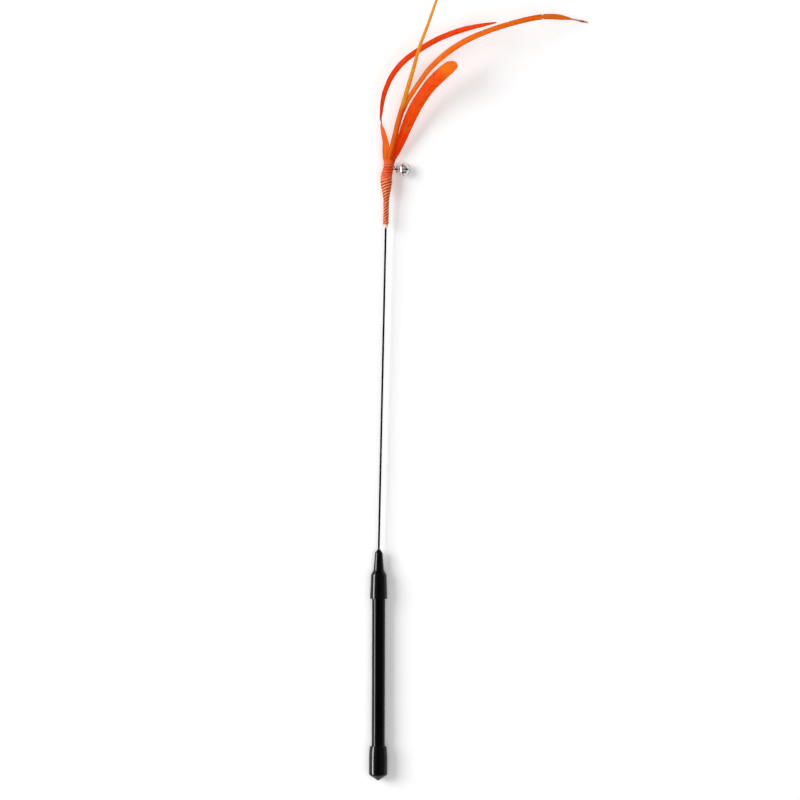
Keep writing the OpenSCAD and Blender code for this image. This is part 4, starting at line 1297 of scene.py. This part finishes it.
# %% The tie's knot
knot_turns, knot_steps, knot_length = 2.6, 60, 1.5
knot_wide, knot_thick, knot_twist = 0.8, 0.7, 1.6
knot_out_by, knot_drawn_in = 0.3, 0.25
knot_from, knot_middle, knot_to = 4, 7, 10
knot_run = tie_path[knot_to] - tie_path[knot_from]
knot_run /= np.linalg.norm(knot_run)
knot_side = np.cross(knot_run, [0, 0, 1])
s = np.linspace(-0.5, 0.5, knot_steps)
a = 2 * np.pi * knot_turns * s
knot_r = TIE_R + knot_out_by - knot_drawn_in * np.abs(2 * s) ** 3
knot = (tie_path[knot_middle] + np.outer(s * knot_length, knot_run)
        + np.outer(knot_r * np.cos(a), knot_side) + np.outer(knot_r * np.sin(a), [0, 0, 1]))
knot_out = np.outer(np.cos(a), knot_side) + np.outer(np.sin(a), [0, 0, 1])
more = twisted(knot, knot_out, 2, knot_wide, knot_thick, knot_twist, tie_ply)
tubes, uvs, depths = tubes + more[0], uvs + more[1], depths + more[2]
tie = ring_mesh("Bell_tie", [on_wand(t) for t in tubes], uvs, depths)
face_outwards(tie)
hand_over(tie, "Bell_tie", tie_red_in_shade, "root", ["bell_tie"])

# %% [markdown]
# ## The studio
# The wand lies on white paper in a bright room. The main light is soft and comes from the left, a
# weaker one comes from above, and a long strip on the left shows only as the glint along the handle.
# The paper is tilted by a hair, because the wand rests on its cap and on the boot's lip, which
# differ in size. It shows white to the camera and still takes the wand's shadow.

# %% Floor
bpy.ops.mesh.primitive_plane_add(size=6)
floor = bpy.context.object
floor.name = "Paper"
tilt = math.atan(FLOOR_SLOPE)
paper_gap = 0.02
under_cap = Matrix.Translation((0, CAP_BARREL / 2 * MM, -CAP_R * MM - paper_gap * MM))
settle(floor, under_cap @ Matrix.Rotation(tilt, 4, "X"))
paper = bpy.data.materials.new("Paper_white")
paper.use_nodes = True
tree = paper.node_tree
tree.nodes.remove(tree.nodes["Principled BSDF"])
ray = add_node(tree, "ShaderNodeLightPath").outputs
seen = larger(ray["Is Camera Ray"], ray["Is Transmission Ray"])
seen = larger(seen, ray["Is Glossy Ray"])
paper_white, paper_seen = (0.86, 0.86, 0.86, 1), (1.11, 1.11, 1.11, 1)
white = blend_colours(seen, paper_white, paper_seen)
matt = add_node(tree, "ShaderNodeBsdfDiffuse", {"Color": white})
connect(tree.nodes["Material Output"].inputs, Surface=matt.outputs[0])
floor.data.materials.append(paper)
print("floor tilt", round(math.degrees(tilt), 3))

# %% [markdown]
# The room's walls are brighter low down, and its ceiling and its two ends are darker, so that the
# black plastic stays black. Gloss sees the room as it is, apart from a white backdrop near the
# horizon. The camera sees plain white.

# %% World
world = bpy.data.worlds.new("Bright_room")
bpy.context.scene.world = world
world.use_nodes = True
tree = world.node_tree
direction = add_node(tree, "ShaderNodeTexCoord").outputs["Generated"]
facing = add_node(tree, "ShaderNodeSeparateXYZ", {"Vector": direction})
height = facing.outputs["Z"]
wall_foot, wall_top, ceiling_dark = 0.75, 0.27, 0.24
walls = ramp(height, 0.05, 0.4, wall_foot, wall_top)
ceiling = ramp(height, 0.88, 0.985, 0.0, ceiling_dark)
near_end = ramp(facing.outputs["Y"], -0.5, -0.8)
far_end = ramp(facing.outputs["Y"], 0.6, 0.85, 0.0, 0.7)
lit = minus(1.0, larger(near_end, far_end))
room = times(minus(walls, ceiling), larger(lit, 0.04))
ray = add_node(tree, "ShaderNodeLightPath").outputs
seen = larger(ray["Is Camera Ray"], ray["Is Transmission Ray"])
backdrop = times(ramp(height, 0.12, 0.02), lit)
seen = larger(seen, times(ray["Is Glossy Ray"], backdrop))
connect(tree.nodes["Background"].inputs, Color=blend_colours(seen, room, (1, 1, 1, 1)))
print("world", world.name)


# %% Lamps
MIDDLE = Vector((0.02, 0.3, 0))


def area_lamp(name, towards, distance, width, length, radiance):
    """An area lamp that looks at the wand's middle from a direction; lengths are in metres."""
    data = bpy.data.lights.new(name, "AREA")
    data.shape = "RECTANGLE"
    data.size, data.size_y = width, length
    data.energy = radiance * math.pi * width * length
    lamp = bpy.data.objects.new(name, data)
    out = Vector(towards).normalized()
    lamp.location = MIDDLE + out * distance
    lamp.rotation_euler = out.to_track_quat("Z", "Y").to_euler()
    bpy.context.scene.collection.objects.link(lamp)
    return lamp


key_height = math.radians(38)
key_towards = (-0.953 * math.cos(key_height), 0.302 * math.cos(key_height), math.sin(key_height))
key = area_lamp("Key", key_towards, distance=8.0, width=4.8, length=4.8, radiance=6.6)
key.visible_glossy = False
fill = area_lamp("Overhead_fill", (0.15, -0.1, 1.0), distance=6.0, width=5.0, length=5.0, radiance=1.85)
fill.visible_glossy = False
strip = area_lamp("Left_strip", (-1.0, 0.0, 0.34), distance=2.0, width=3.0, length=0.5, radiance=40.0)
strip.visible_diffuse = False
print("lamps", key.data.energy, fill.data.energy, strip.data.energy)
